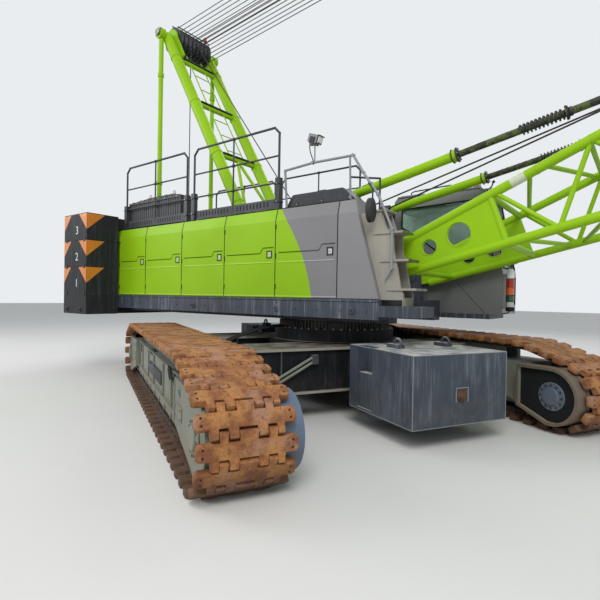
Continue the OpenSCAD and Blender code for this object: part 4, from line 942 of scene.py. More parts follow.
class CRANE_OT_carbody(bpy.types.Operator):
    """Flange edges, struts, bolts, slewing ring seals and hoses on the carbody."""
    bl_idname = "crane.carbody"
    bl_label = "Carbody"

    def execute(self, context):
        edges, struts, fasteners, hoses, black = [], [], [], [], []
        right, left = -2.775, 1.91
        for beam in (-BEAM_X, BEAM_X):
            for x in (beam - 0.45, beam + 0.45):
                for z in (0.43, 1.09):
                    corners = (x - 0.006, right, z - 0.019), (x + 0.006, left, z + 0.019)
                    edges.append(block(*corners, 0.003, UNDER))
            # Bolted end flanges where the beams meet the side frames
            for y, out in ((right, 1), (left, -1)):
                struts.append(slab((beam, y, 0.6725), out, 0.03, (0.47, 0.2525), 0.004, UNDER))
                spots = [(beam + x, y + out * 0.03, z) for x in (-0.43, 0.43) for z in (0.52, 0.62, 0.72, 0.82)]
                fasteners += bolts(spots, (0, out, 0), 0.018, 0.02, UNDER)
            # Stiffeners under the top flanges
            for y in (-2.3, -1.75, 1.55):
                for x in (beam - 0.42, beam + 0.42):
                    black.append(brick((x, y, 0.76), (0.025, 0.012, 0.30), 0.003, UNDER))
        # Double strut down the front beam's face, with its pins
        for drop in (0.0, 0.075):
            struts.append(rod((1.56, -1.22, 0.98 - drop), (1.56, -2.05, 0.55 - drop), 0.022, 12, UNDER))
        for y, z in ((-1.20, 0.935), (-2.07, 0.485)):
            black.append(brick((1.5425, y, z), (0.0425, 0.06, 0.075), 0.01, UNDER))
        # Bolt circle on the carbody's top and the ring's outer seal
        fasteners += bolts(circled((0, 0, 1.33), 1.10, 48, "Z"), (0, 0, 1), 0.016, 0.022, UNDER)
        black.append(ring((0, 0, 1.472), (0, 0, 1), 1.035, 0.011, 72, 6, UNDER))
        # Hoses looped over the drum towards both side frames
        for side, reach in ((-1, 2.70), (1, 1.86)):
            for k in range(3):
                path = ((-0.1, 0.95, 1.345), (-0.1, 1.25, 1.40), (0.0, (1.25 + reach) / 2, 1.22),
                        (0.2, reach - 0.1, 0.98), (0.2, reach, 0.80))
                hoses.append(tube([(x + 0.10 * k, side * y, z) for x, y, z in path], 0.016, 8, True, UNDER))
        finished(edges, "beam_edges", "undercarriage", "beige")
        finished(struts, "beam_struts", "undercarriage", "frame_grey")
        finished(fasteners, "carbody_bolts", "undercarriage", "steel")
        finished(black, "carbody_stiffeners", "undercarriage", "dark")
        finished(hoses, "carbody_hoses", "undercarriage", "hose")
        return {"FINISHED"}


# Houses and doors

def door_span(i):
    start = -5.121 if i == 0 else DOOR_START + i * DOOR_PITCH + 0.006
    return start, DOOR_START + (i + 1) * DOOR_PITCH - 0.006


def on_wall(x0, x1, z0, z1, out, sunk, bevel=0.0):
    """A block on the right houses' outer wall, standing out and sunk in by two depths."""
    return block((x0, WALL_Y - out, z0), (x1, WALL_Y + sunk, z1), bevel)


def latch(name, body, x, z, width):
    """A flush paddle latch: paddle, lock barrel, and the sunk dish in its frame."""
    x1, z1, rim = x + width, z + width * 1.1, 0.014
    middle, level = x + width / 2, z + width * 0.55
    dish = [on_wall(*span, 0.009, 0.002, 0.003) for span in (
        (x, x1, z, z + rim), (x, x1, z1 - rim, z1), (x, x + rim, z, z1), (x1 - rim, x1, z, z1))]
    dish.append(on_wall(x + 0.01, x1 - 0.01, z + 0.01, z1 - 0.01, 0.001, 0.012))
    paddle = on_wall(x + 0.03, x1 - 0.02, z + 0.028, z1 - 0.03, 0.007, 0.008, 0.005)
    barrel = rod((middle, WALL_Y - 0.012, level), (middle, WALL_Y, level), 0.012, 12, bevel=0.002)
    finished(paddle, f"{name}_latch", body, "pale_socket")
    finished(barrel, f"{name}_lock", body, "steel")
    finished(dish, f"{name}_latch_dish", body, "rubber")


def house_point(x, z, out=0.0):
    """A point on the right house's outer skin, following its leaning top."""
    lean = 0.055 * max(0.0, (z - 3.2) / 0.21)
    return (x, WALL_Y + lean - out, z)


class CRANE_OT_doors(bpy.types.Operator):
    """Fits latches, hinges, pressed ridges in a lighter paint as a painted highlight, dark tubes as painted
    shade in the grooves, and seals to the five house doors.
    """
    bl_idname = "crane.doors"
    bl_label = "Door fittings"

    def execute(self, context):
        groove_y, groove_z, step = WALL_Y + 0.006, 2.65, 0.095
        for i in range(5):
            body = f"door_{i + 1}"
            x0, x1 = door_span(i)
            latch(body, body, x1 - 0.195, 2.56, context.scene.crane_sizes.latch)
            # The pressed ridge and the bottom strip take the lighter ridge paint, a painted highlight.
            ridge = [on_wall(x0 + 0.05, x1 - 0.05, 2.475, 2.497, 0.007, 0.004, 0.005),
                     on_wall(x0 + 0.004, x1 - 0.004, 1.893, 1.912, 0.004, 0.004, 0.003)]
            finished(ridge, f"{body}_ridge", body, "ridge")
            # A dark tube along each groove is painted shade inside it.
            path = ((x0 + 0.062, 0), (x1 - 0.35, 0), (x1 - 0.281, step), (x1 - 0.042, step))
            groove = tube([(x, groove_y, groove_z + rise) for x, rise in path], 0.009)
            finished(groove, f"{body}_groove", body, "groove")
            seal = tube([house_point(x1 - 0.004, z, -0.003) for z in (1.895, 3.2, 3.40)], 0.007)
            finished(seal, f"{body}_seal", body, "rubber")
            knuckles = [post((x0 + 0.002, WALL_Y - 0.003, z), 0.09, 0.009, 10, bevel=0.002)
                        for z in (2.02, 2.55, 3.05)]
            finished(knuckles, f"{body}_hinges", body, "rubber")
        return {"FINISHED"}


class CRANE_OT_houses(bpy.types.Operator):
    """Seams, seals, sills and grilles on both houses."""
    bl_idname = "crane.houses"
    bl_label = "House trim"

    def execute(self, context):
        seals = [tube([house_point(DOOR_START + i * DOOR_PITCH, z, -0.03) for z in (1.89, 3.2, 3.40)], 0.008)
                 for i in range(1, 6)]
        seals.append(block((-5.12, -1.447, 3.4095), (1.21, -1.435, 3.4205), 0.003))
        finished(seals, "door_seals", "upper", "rubber")
        sill = [on_wall(-5.34, 1.75, 1.835, 1.868, 0.012, 0.0, 0.004)]
        sill += bolts([(-5.2 + 0.45 * k, WALL_Y, 1.70) for k in range(16)], (0, -1, 0), 0.014, 0.010)
        finished(sill, "deck_sill", "upper", "deck")
        # Left house: latches and hinges on its three leaves, and slats in the louvres
        louvres, fittings = [], []
        leaf_y, low, high = 1.519, 1.97, 3.13
        for i in range(3):
            x0, x1 = -5.25 + i * DOOR_PITCH, -5.31 + (i + 1) * DOOR_PITCH
            fittings.append(block((x1 - 0.2, 1.517, 2.56), (x1 - 0.09, 1.530, 2.68), 0.005))
            fittings += [pin((x0, leaf_y, z), (0, 0, 0.05), 0.012, 10, bevel=0.002) for z in (2.05, 2.6, 3.05)]
            edge = ((x0, low), (x1, low), (x1, high), (x0, high), (x0, low))
            fittings.append(tube([(x + (0.03 if x == x0 else -0.03), leaf_y, z) for x, z in edge], 0.005))
        for k in range(8):
            place = turned(math.degrees(0.7), "X", (0, 1.492, 2.195 + 0.12 * k))
            louvres.append(block((-1.25, -0.012, -0.030), (-0.30, 0.012, 0.030), 0.003, place))
        finished(louvres, "left_house_louvres", "upper", "rail")
        finished(fittings, "left_house_fittings", "upper", "rubber")
        return {"FINISHED"}


# Counterweights

CW_FRONT, CW_REAR, CW_SIDE = -5.151, -6.9, 2.295
CW_CORNER = CW_REAR + 0.71
CW_LOW, CW_STEP = 1.9, 0.606


def hanging_triangle(corner, run, width, drop=0.37, thick=0.003):
    """Half of a triangle folded round an upright corner, apex down, on the face that runs one way."""
    run = Vector(run).normalized()
    out = Vector((run.y, -run.x, 0))
    if out.dot(Vector((corner[0] + 6.0, corner[1], 0))) < 0:
        out = -out
    axes, shift = (run, Vector((0, 0, 1)), out), 0
    if Matrix(axes).determinant() < 0:
        axes, shift = (run, Vector((0, 0, 1)), -out), -thick
    turn = Matrix(axes).transposed().to_4x4()
    outline = [(0.004, -0.012), (width, -0.012), (0.004, -drop)]
    return plate(outline, thick, moved(*corner) @ turn @ moved(0, 0, shift))


def number_plate(i, side):
    """The plain number of a layer, standing on one side of the stack."""
    deselect()
    bpy.ops.object.text_add()
    text = bpy.context.active_object
    text.data.body = str(i + 1)
    text.data.size = 0.26
    text.data.extrude = 0.001
    only(text)
    bpy.ops.object.convert(target="MESH")
    text = bpy.context.active_object
    turn = ON_EDGE if side < 0 else turned(180, "Z") @ ON_EDGE
    x = -5.66 if side < 0 else -5.50
    text.data.transform(moved(x, side * (CW_SIDE + 0.001), CW_LOW + i * CW_STEP + 0.14) @ turn)
    text.matrix_basis = Matrix()
    return text


class CRANE_OT_weights(bpy.types.Operator):
    """Orange corner triangles, plain numbers, straps, joints and lifting loops on the counterweight."""
    bl_idname = "crane.weights"
    bl_label = "Counterweight"

    def execute(self, context):
        triangles, numbers, straps, seams = [], [], [], []
        for side in SIDES:
            y = side * CW_SIDE
            for i in range(3):
                top = CW_LOW + (i + 1) * CW_STEP - 0.004
                for x, run, width in (
                        (CW_FRONT, (0, -side, 0), 0.42), (CW_FRONT, (-1, 0, 0), 0.35),
                        (CW_CORNER, (1, 0, 0), 0.33), (CW_CORNER, (-0.71, -side * 0.64, 0), 0.30)):
                    triangles.append(hanging_triangle((x, y, top), run, width))
                numbers.append(number_plate(i, side))
                for x in (-5.25, -6.05):
                    straps.append(slab((x, y, CW_LOW + i * CW_STEP), side, 0.014, (0.035, 0.045), 0.004))
            # Straps and bolts that hang the tray from the stack
            for x in (-5.42, -6.02):
                straps.append(slab((x, y, 1.515), side, 0.018, (0.05, 0.045), 0.004))
                straps += bolts([(x, y + side * 0.018, 1.515)], (0, side, 0), 0.022, 0.018)
        for i in (1, 2):
            z = CW_LOW + i * CW_STEP - 0.002
            path = ((CW_CORNER, -CW_SIDE), (CW_FRONT, -CW_SIDE), (CW_FRONT, CW_SIDE), (CW_CORNER, CW_SIDE))
            seams.append(tube([(x, y, z) for x, y in path], 0.005))
        path = ((-5.99, 3.72), (-5.99, 3.78), (-5.9, 3.84), (-5.81, 3.78), (-5.81, 3.72))
        hooks = [tube([(x, side * 1.5, z) for x, z in path], 0.018, 10, True) for side in SIDES]
        finished(triangles, "corner_triangles", "upper", "orange", smooth=0)
        finished(numbers, "layer_numbers", "upper", "white", smooth=0)
        for pieces, name, finish in ((straps, "stack_straps", "black"), (seams, "layer_joints", "rubber"),
                                     (hooks, "top_lifting_loops", "steel")):
            finished(pieces, name, "upper", finish)
        return {"FINISHED"}


class CRANE_OT_body_weights(bpy.types.Operator):
    """Hooks, brackets, worn bands and worn rims on the carbody weights."""
    bl_idname = "crane.body_weights"
    bl_label = "Carbody weights"

    def execute(self, context):
        face, side_y, low, high = 3.380, 0.792, 0.284, 1.197
        for word, turn in (("front", UNDER), ("rear", UNDER @ turned(180, "Z"))):
            hooks, rims = [], []
            for side in SIDES:
                path = ((2.52, 1.25), (2.52, 1.31), (2.60, 1.345), (2.68, 1.31), (2.68, 1.25))
                hooks.append(tube([(x, side * 0.43, z) for x, z in path], 0.02, 10, True, turn))
                y = side * side_y
                rims.append(rod((face, y, 0.285), (face, y, 1.195), 0.006, 8, turn))
                rims += [rod((1.93, y, z), (face, y, z), 0.006, 8, turn) for z in (low, high)]
            rims += [rod((face, -side_y, z), (face, side_y, z), 0.006, 8, turn) for z in (low, high)]
            # Flat strap bent to a U
            strap = ((-0.10, 0.58), (-0.10, 0.76), (0.10, 0.76), (0.10, 0.58))
            rims.append(tube([(face + 0.006, y, z) for y, z in strap], 0.010, place=turn))
            # Two bands of the front face worn by the slings
            bands = [block((face - 0.001, y - 0.058, 0.287), (face + 0.0012, y + 0.058, 1.194), 0.001, turn)
                     for y in (-0.475, 0.315)]
            rusted = [block((face, -0.085, 0.60), (face + 0.009, 0.085, 0.745), 0.004, turn),
                      ring((face + 0.015, 0.0, 0.61), (1, 0, 0), 0.035, 0.009, 20, 6, turn)]
            finished(bands, f"{word}_weight_bands", "undercarriage", "band")
            finished(hooks, f"{word}_weight_hooks", "undercarriage", "weight")
            finished(rims, f"{word}_weight_rims", "undercarriage", "edge")
            finished(rusted, f"{word}_weight_bracket", "undercarriage", "belt")
        return {"FINISHED"}


# Roof, steps and lamps

class CRANE_OT_roof(bpy.types.Operator):
    """Ribs, slats, clamps and toe boards on the roof's box, rails and covers."""
    bl_idname = "crane.roof"
    bl_label = "Roof fittings"

    def execute(self, context):
        ribs, box_bolts = self.slatted_box()
        clamps, slots, bright = self.rails()
        # Low cover in front: hinges, clips and a handle
        for x in (0.10, 0.62, 1.14):
            clamps.append(brick((x, -1.368, ROOF_Z + 0.06), (0.03, 0.004, 0.04), 0.004))
            bright += bolts([(x, -1.372, ROOF_Z + 0.06)], (0, -1, 0), 0.010, 0.008)
        path = ((0.45, 0.23), (0.45, 0.27), (0.61, 0.27), (0.61, 0.23))
        bright.append(tube([(x, -1.25, ROOF_Z + z) for x, z in path], 0.009, 8))
        # Filler cap and breather beside the cover
        for z, height, radius, sides in ((0, 0.05, 0.055, 24), (0.05, 0.025, 0.065, 12)):
            clamps.append(post((-0.27, -1.15, ROOF_Z + z), height, radius, sides, bevel=0.006))
        finished(ribs, "roof_box_ribs", "upper", "rail")
        finished(clamps, "rail_clamps", "upper", "black")
        finished(box_bolts + bright, "roof_fasteners", "upper", "steel")
        finished(slots, "toe_board_slots", "upper", "rubber", smooth=0)
        return {"FINISHED"}

    def slatted_box(self):
        """Corner angles, bands and slats of the air outlet's box, and the ribs over its hipped lid."""
        x0, x1, y0, y1, low, high = -4.95, -3.06, -1.35, -0.92, ROOF_Z, ROOF_Z + 0.625
        ribs = []
        for x in (x0, x1):
            for y in (y0, y1):
                ribs.append(block((x - 0.018, y - 0.018, low + 0.01), (x + 0.018, y + 0.018, high), 0.004))
        for z in (low + 0.035, high - 0.025):
            for near, far in ((y0 - 0.014, y0 - 0.001), (y1 + 0.001, y1 + 0.014)):
                ribs.append(block((x0, near, z - 0.022), (x1, far, z + 0.022), 0.004))
        slats = [turned(math.degrees(0.5), "Z", (x0 + 0.079 + 0.082 * k, y0 + 0.012, 0)) for k in range(22)]
        ribs += copies(block((-0.022, -0.004, low + 0.065), (0.022, 0.004, high - 0.055), 0.002), slats)
        for k in range(9):
            x = x0 + 0.10 + 0.211 * k
            share = min(1.0, (x - x0) / 0.56, (x1 - x) / 0.56)
            ridge, run = high + 0.112 * share, 0.18 * share
            path = ((y0 - 0.004, high + 0.004), (y0 + run, ridge),
                    (y1 - run, ridge), (y1 + 0.004, high + 0.004))
            ribs.append(tube([(x, y, z) for y, z in path], 0.011))
        bright = [ring((x, -1.135, high + 0.15), (0, 1, 0), 0.035, 0.009, 20) for x in (x0 + 0.5, x1 - 0.5)]
        spots = [(x0 + 0.1 + 0.21 * k, y0 - 0.014, high - 0.025) for k in range(9)]
        return ribs, bright + bolts(spots, (0, -1, 0), 0.010, 0.010)

    def rails(self):
        """Socket clamps and end caps of the rails, and the slots of their perforated toe boards."""
        clamps, slots, bright = [], [], []
        rail_y, board_y = 1.4, 1.4065
        for side in SIDES:
            for start, end in ((-5.0, -2.78), (-2.55, -0.28)):
                for x in (start, end):
                    for z in (ROOF_Z + 0.14, ROOF_Z + 0.46):
                        clamps.append(brick((x, side * rail_y, z), (0.062, 0.056, 0.016), 0.005))
                        bright += bolts([(x, side * 1.456, z)], (0, side, 0), 0.012, 0.012)
                middle = (start + end) / 2
                for z in (ROOF_Z + 0.48, ROOF_Z + 0.95, 4.865):
                    clamps.append(pin((middle, side * rail_y, z), (0.028, 0, 0), 0.030, 12, bevel=0.003))
                for first in (start + 0.22, middle + 0.12):
                    for k in range(10):
                        face = (first + 0.085 * k, side * board_y, ROOF_Z + 0.12)
                        slots.append(slab(face, -side, 0.002, (0.016, 0.045)))
        return clamps, slots, bright


class CRANE_OT_front(bpy.types.Operator):
    """Treads, clamps, lamp, mirror glass and deck fittings at the front of the houses."""
    bl_idname = "crane.front"
    bl_label = "Steps, lamp and mirror"

    def execute(self, context):
        rail_y = -1.462
        self.steps()
        # Front panel's handrail: clamps, and the sockets at its feet
        clamps, bright = [], []
        for x, z in ((0.49, 4.09), (1.26, 4.08), (1.44, 3.79), (1.70, 3.42), (1.93, 2.897), (1.93, 2.33)):
            clamps.append(pin((x, rail_y, z), (0, 0.025, 0), 0.027, 12, bevel=0.003))
        for x in (-0.10, 1.18):
            clamps.append(block((x - 0.06, -1.435, ROOF_Z + 0.001), (x + 0.06, -1.345, ROOF_Z + 0.012), 0.003))
            bright += bolts([(x + dx, -1.39, ROOF_Z + 0.012) for dx in (-0.04, 0.04)], (0, 0, 1), 0.009, 0.009)
        self.work_lamp(rail_y)
        self.mirror()
        # Deck: tie-down rings and platform cleats
        deck = []
        for x in (-4.6, -2.4, -0.2, 1.3):
            deck.append(on_wall(x - 0.05, x + 0.05, 1.64, 1.76, 0.006, 0.001, 0.005))
            deck.append(ring((x, -1.525, 1.69), (0, 1, 0), 0.034, 0.008, 20))
        cleats = [brick((1.85 + 0.13 * k, -1.405 + 0.14 * row, 1.7825), (0.03, 0.015, 0.0035), 0.003)
                  for row in range(3) for k in range(4)]
        finished(clamps, "hand_rail_clamps", "upper", "pale_rail")
        finished(deck, "deck_rings", "upper", "deck")
        finished(cleats, "platform_cleats", "upper", "deck")
        finished(bright, "rail_feet_bolts", "upper", "steel")
        return {"FINISHED"}

    def steps(self):
        """Studs and worn front edges of the four treads."""
        studs, edges = [], []
        y0, y1, pitch = -1.44, -1.06, 0.07
        for nose, z, back in ((2.306, 2.038, 1.85), (2.180, 2.460, 1.73),
                              (2.080, 2.872, 1.62), (1.800, 3.208, 1.51)):
            edges.append(block((nose - 0.012, y0, z - 0.034), (nose + 0.006, y1, z + 0.006), 0.004))
            spots = [moved(back + 0.04 + pitch * a, y0 + 0.05 + pitch * b, z)
                     for a in range(int((nose - back) / pitch)) for b in range(5)]
            studs += copies(rod((0, 0, -0.001), (0, 0, 0.006), 0.017, 8, end_radius=0.012), spots)
        finished(studs, "step_studs", "upper", "beige")
        finished(edges, "step_edges", "upper", "steel")

    def work_lamp(self, rail_y):
        """Hood, ribs behind, rim, lens and cable of the work lamp."""
        place = turned(20, "Y", (0.53, rail_y, 4.47))
        hood = [block((0.09, -0.072, 0.058), (0.135, 0.072, 0.070), 0.003, place),
                block((0.09, -0.072, -0.070), (0.105, 0.072, 0.070), 0.004, place)]
        hood += [block((-0.105, -0.06, z), (-0.092, 0.06, z + 0.010), 0.002, place)
                 for z in (-0.05, -0.025, 0.0, 0.025, 0.05)]
        hood += [brick((0, s * 0.074, -0.035), (0.05, 0.005, 0.055), 0.003, place) for s in SIDES]
        finished(hood, "work_lamp_hood", "upper", "black")
        glass = block((0.1045, -0.058, -0.056), (0.1085, 0.058, 0.056), 0.004, place, 2)
        finished(glass, "work_lamp_glass", "upper", "clear_lens")
        path = [(0.44, rail_y, 4.44), (0.40, -1.48, 4.30), (0.50, -1.475, 4.18), (0.52, -1.475, 4.08)]
        finished(tube(path, 0.009, 8, True), "work_lamp_cable", "upper", "hose")

    def mirror(self):
        """Silvered glass towards the rear, its rim, and a domed black shell in front."""
        y, z = -1.59, 3.18
        tall = moved(0, 0, z) @ Matrix.Scale(1.73, 4, (0, 0, 1)) @ moved(0, 0, -z)
        glass = rod((1.6165, y, z), (1.6195, y, z), 0.095, 28, tall)
        finished(glass, "mirror_glass", "upper", "mirror")
        shell = [ring((1.619, y, z), (1, 0, 0), 0.098, 0.007, 32, 6, tall)]
        for x, r, r_end in ((1.6795, 0.102, 0.088), (1.6945, 0.088, 0.060), (1.7045, 0.060, 0.022)):
            shell.append(rod((x, y, z), (x + 0.0155, y, z), r, 32, tall, end_radius=r_end))
        shell.append(block((1.632, -1.572, 3.13), (1.668, -1.535, 3.23), 0.005))
        shell.append(post((1.65, -1.545, 3.02), 0.04, 0.018, 10))
        finished(shell, "mirror_shell", "upper", "black")


# Cab

CAB_Y = 1.1
CAB_MID = 1.6
CAB_ROOF = 3.958
STACK_X, STACK_Y = 2.94, 1.19


def front_x(z):
    """Front face of the cab at a height."""
    return 2.83 - 0.29 * max(0.0, z - 2.4) / 1.45


def framed(corners):
    """A closed run through corners."""
    return list(corners) + [corners[0]]


class CRANE_OT_cab(bpy.types.Operator):
    """Gaskets, wipers, handles, consoles and lamps of the cab."""
    bl_idname = "crane.cab"
    bl_label = "Cab"

    def execute(self, context):
        self.gaskets()
        # Sheet seams below the side window
        seams = (((2.03, 2.20), (2.54, 1.65)), ((1.43, 2.03), (1.435, 1.90), (1.455, 1.78), (1.49, 1.66)))
        black = [tube([(x, CAB_Y - 0.001, z) for x, z in path], 0.004) for path in seams]
        self.trim()
        black += self.roof_rails()
        self.handles()
        black += self.wipers() + self.controls()
        finished(black, "cab_fittings", "upper", "rubber")
        self.seat_and_screen()
        self.door()
        self.stack()
        return {"FINISHED"}

    def gaskets(self):
        """Rubber round every fixed pane."""
        side_window = framed([(0.89, 3.33), (1.13, 3.19), (1.90, 2.62), (2.67, 2.62),
                              (2.44, 3.74), (0.89, 3.70)])
        pieces = [tube([(x, CAB_Y - 0.002, z) for x, z in side_window], 0.016, 8)]
        rear = framed([(1.22, 2.76), (1.98, 2.76), (1.98, 3.70), (1.22, 3.70)])
        pieces.append(tube([(0.718, y, z) for y, z in rear], 0.015, 8))
        for low, high in ((2.48, 3.79), (1.82, 2.33)):
            front = framed([(1.18, low), (2.02, low), (2.02, high), (1.18, high)])
            pieces.append(tube([(front_x(z) + 0.004, y, z) for y, z in front], 0.016, 8))
        roof = framed([(1.42, 1.28), (2.12, 1.28), (2.12, 1.92), (1.42, 1.92)])
        pieces.append(tube([(x, y, 3.962) for x, y in roof], 0.014, 8))
        finished(pieces, "window_gaskets", "upper", "rubber")

    def trim(self):
        """Drip rail, roof panels and front visor."""
        drip = ((0.80, 3.945), (2.41, 3.945), (2.545, 3.84))
        pieces = [tube([(x, CAB_Y - 0.008, z) for x, z in drip], 0.014, 8)]
        for x0, x1 in ((0.84, 1.34), (2.16, 2.40)):
            pieces.append(block((x0, 1.14, CAB_ROOF), (x1, 2.06, 3.985), 0.01, segments=2))
        pieces.append(block((2.42, 1.12, 3.90), (2.62, 2.08, 3.925), 0.008, segments=2))
        finished(pieces, "cab_trim", "upper", "cab")

    def handles(self):
        """Grab handles beside the front window."""
        low, high = front_x(2.6), front_x(3.2)
        path = ((low + 0.005, 2.60), (low + 0.07, 2.62), (high + 0.07, 3.18), (high + 0.005, 3.20))
        handles = [tube([(x, y, z) for x, z in path], 0.012, 8) for y in (1.13, 2.07)]
        finished(handles, "cab_grab_handles", "upper", "black")

    def roof_rails(self):
        """Low black rails along the roof, a lamp in its cage on each side, and a short aerial."""
        black, lamps, lamp_x, cage = [], [], 2.33, 0.045
        rail = ((1.03, 3.960), (1.03, 4.040), (1.10, 4.062), (1.83, 4.092), (1.90, 4.070), (1.93, 3.960))
        for y in (1.22, 1.98):
            black.append(tube([(x, y, z) for x, z in rail], 0.013, 8))
            black += [post((x, y, CAB_ROOF), 0.010, 0.032, 12, bevel=0.002) for x in (1.03, 1.93)]
            black.append(brick((lamp_x, y, 3.991), (0.06, 0.055, 0.007), 0.004))
            black += [post((lamp_x + dx, y + dy, 3.998), 0.107, 0.006, 6)
                      for dx in (-cage, cage) for dy in (-cage, cage)]
            black.append(ring((lamp_x, y, 4.105), (0, 0, 1), 0.062, 0.006, 20))
            lamps.append(post((lamp_x, y, 3.998), 0.087, 0.040, 20, bevel=0.006, end_radius=0.034))
        finished(lamps, "roof_lamps", "upper", "amber_lens")
        black.append(tube([(2.56, 1.17, 3.925), (2.60, 1.17, 3.965), (2.62, 1.17, 4.03)], 0.012, 8))
        black.append(rod((2.605, 1.17, 4.02), (2.645, 1.17, 4.05), 0.024, 12, bevel=0.005))
        return black

    def wipers(self):
        """Spindle, arm and blade of both wipers."""
        black, y = [], CAB_MID
        for z0, z1 in ((2.44, 3.35), (1.80, 2.20)):
            x0, x1 = front_x(z0), front_x(z1)
            black.append(rod((x0 - 0.002, y, z0), (x0 + 0.035, y, z0), 0.02, 12, bevel=0.003))
            arm = [(x0 + 0.03, y, z0), (x0 + 0.035, y + 0.16, (z0 + z1) / 2), (x1 + 0.028, y + 0.20, z1)]
            black.append(tube(arm, 0.008))
            blade = (z1 - (z1 - z0) * 0.55, z1 + 0.12)
            black.append(tube([(front_x(z) + 0.016, y + 0.20, z) for z in blade], 0.010))
        return black

    def controls(self):
        """Consoles with their levers, pedals, and the screen's stalk and case."""
        black = []
        for side in SIDES:
            y = CAB_MID + side * 0.283
            black.append(block((1.50, y - 0.05, 2.32), (1.74, y + 0.05, 2.345), 0.01, segments=2))
            for x in (1.58, 1.68):
                black.append(rod((x, y, 2.33), (x + 0.03, y, 2.50), 0.011, 10))
                black.append(rod((x + 0.03, y, 2.49), (x + 0.035, y, 2.56), 0.026, 14, bevel=0.009))
        for y in (1.42, 1.60, 1.78):
            black.append(block((2.30, y - 0.045, 1.78), (2.33, y + 0.045, 1.95), 0.008))
            black.append(rod((2.32, y, 1.70), (2.31, y, 1.80), 0.015, 8))
        black.append(rod((2.45, 1.22, 1.70), (2.45, 1.24, 2.65), 0.02, 10))
        black.append(block((2.42, 1.17, 2.60), (2.46, 1.45, 2.84), 0.012, segments=2))
        return black

    def seat_and_screen(self):
        """Headrest, arm pads and the screen's face."""
        cloth = [block((1.08, 1.48, 2.76), (1.17, 1.72, 2.98), 0.03, segments=3)]
        cloth += [brick((1.50, CAB_MID + side * 0.18, 2.14), (0.20, 0.035, 0.02), 0.015, segments=2)
                  for side in SIDES]
        finished(cloth, "seat_cushions", "upper", "cloth")
        face = block((2.413, 1.185, 2.615), (2.4205, 1.435, 2.825), 0.004)
        finished(face, "cab_screen", "upper", "screen")

    def door(self):
        """Pane, gasket, handle and rollers of the sliding door."""
        pane = plate([(1.652, 2.592), (2.548, 2.592), (2.368, 3.698), (1.652, 3.698)], 0.006,
                     moved(0, 2.130, 0) @ ON_EDGE)
        finished(pane, "cab_door_glass", "cab_door", "glass", smooth=0)
        leaf = framed([(1.66, 2.60), (2.54, 2.60), (2.36, 3.69), (1.66, 3.69)])
        fittings = [tube([(x, 2.150, z) for x, z in leaf], 0.014, 8),
                    block((1.66, 2.148, 2.40), (1.86, 2.166, 2.52), 0.01, segments=2)]
        fittings += [pin((x, 2.131, 3.755), (0, 0.019, 0), 0.022, 16, bevel=0.004) for x in (1.72, 2.20)]
        finished(fittings, "cab_door_fittings", "cab_door", "rubber")

    def stack(self):
        """Three lenses one over another, with dark collars between them."""
        for word, z, height in (("green", 1.872, 0.113), ("amber", 1.988, 0.139), ("red", 2.130, 0.145)):
            lamp = [post((STACK_X, STACK_Y, z), height, 0.064, 28, bevel=0.004)]
            lamp += [self.collar(z + 0.018 + 0.021 * k, 0.0635, 0.0035) for k in range(int(height / 0.021))]
            finished(lamp, f"{word}_lens", "upper", f"{word}_lens")
        cap = [post((STACK_X, STACK_Y, 2.279), 0.121, 0.061, 28, bevel=0.006),
               post((STACK_X, STACK_Y, 2.40), 0.055, 0.059, 28, bevel=0.008, end_radius=0.036)]
        finished(cap, "stack_cap", "upper", "clear_lens")
        foot = post((STACK_X, STACK_Y, 1.776), 0.094, 0.0615, 28, bevel=0.004)
        finished(foot, "stack_socket", "upper", "pale_socket")
        base = [post((STACK_X, STACK_Y, 1.70), 0.075, 0.072, 28, bevel=0.012)]
        base += [self.collar(z, 0.0645, 0.004) for z in (1.8715, 1.9865, 2.1285, 2.277)]
        cable = [(STACK_X, STACK_Y, 1.72), (2.93, 1.18, 1.68), (2.90, 1.16, 1.66), (2.80, 1.15, 1.655)]
        base.append(tube(cable, 0.009, 8, True))
        finished(base, "stack_light_base", "upper", "rubber")

    def collar(self, z, radius, thick):
        return ring((STACK_X, STACK_Y, z), (0, 0, 1), radius, thick, 28)


# Winches, gantry and ropes

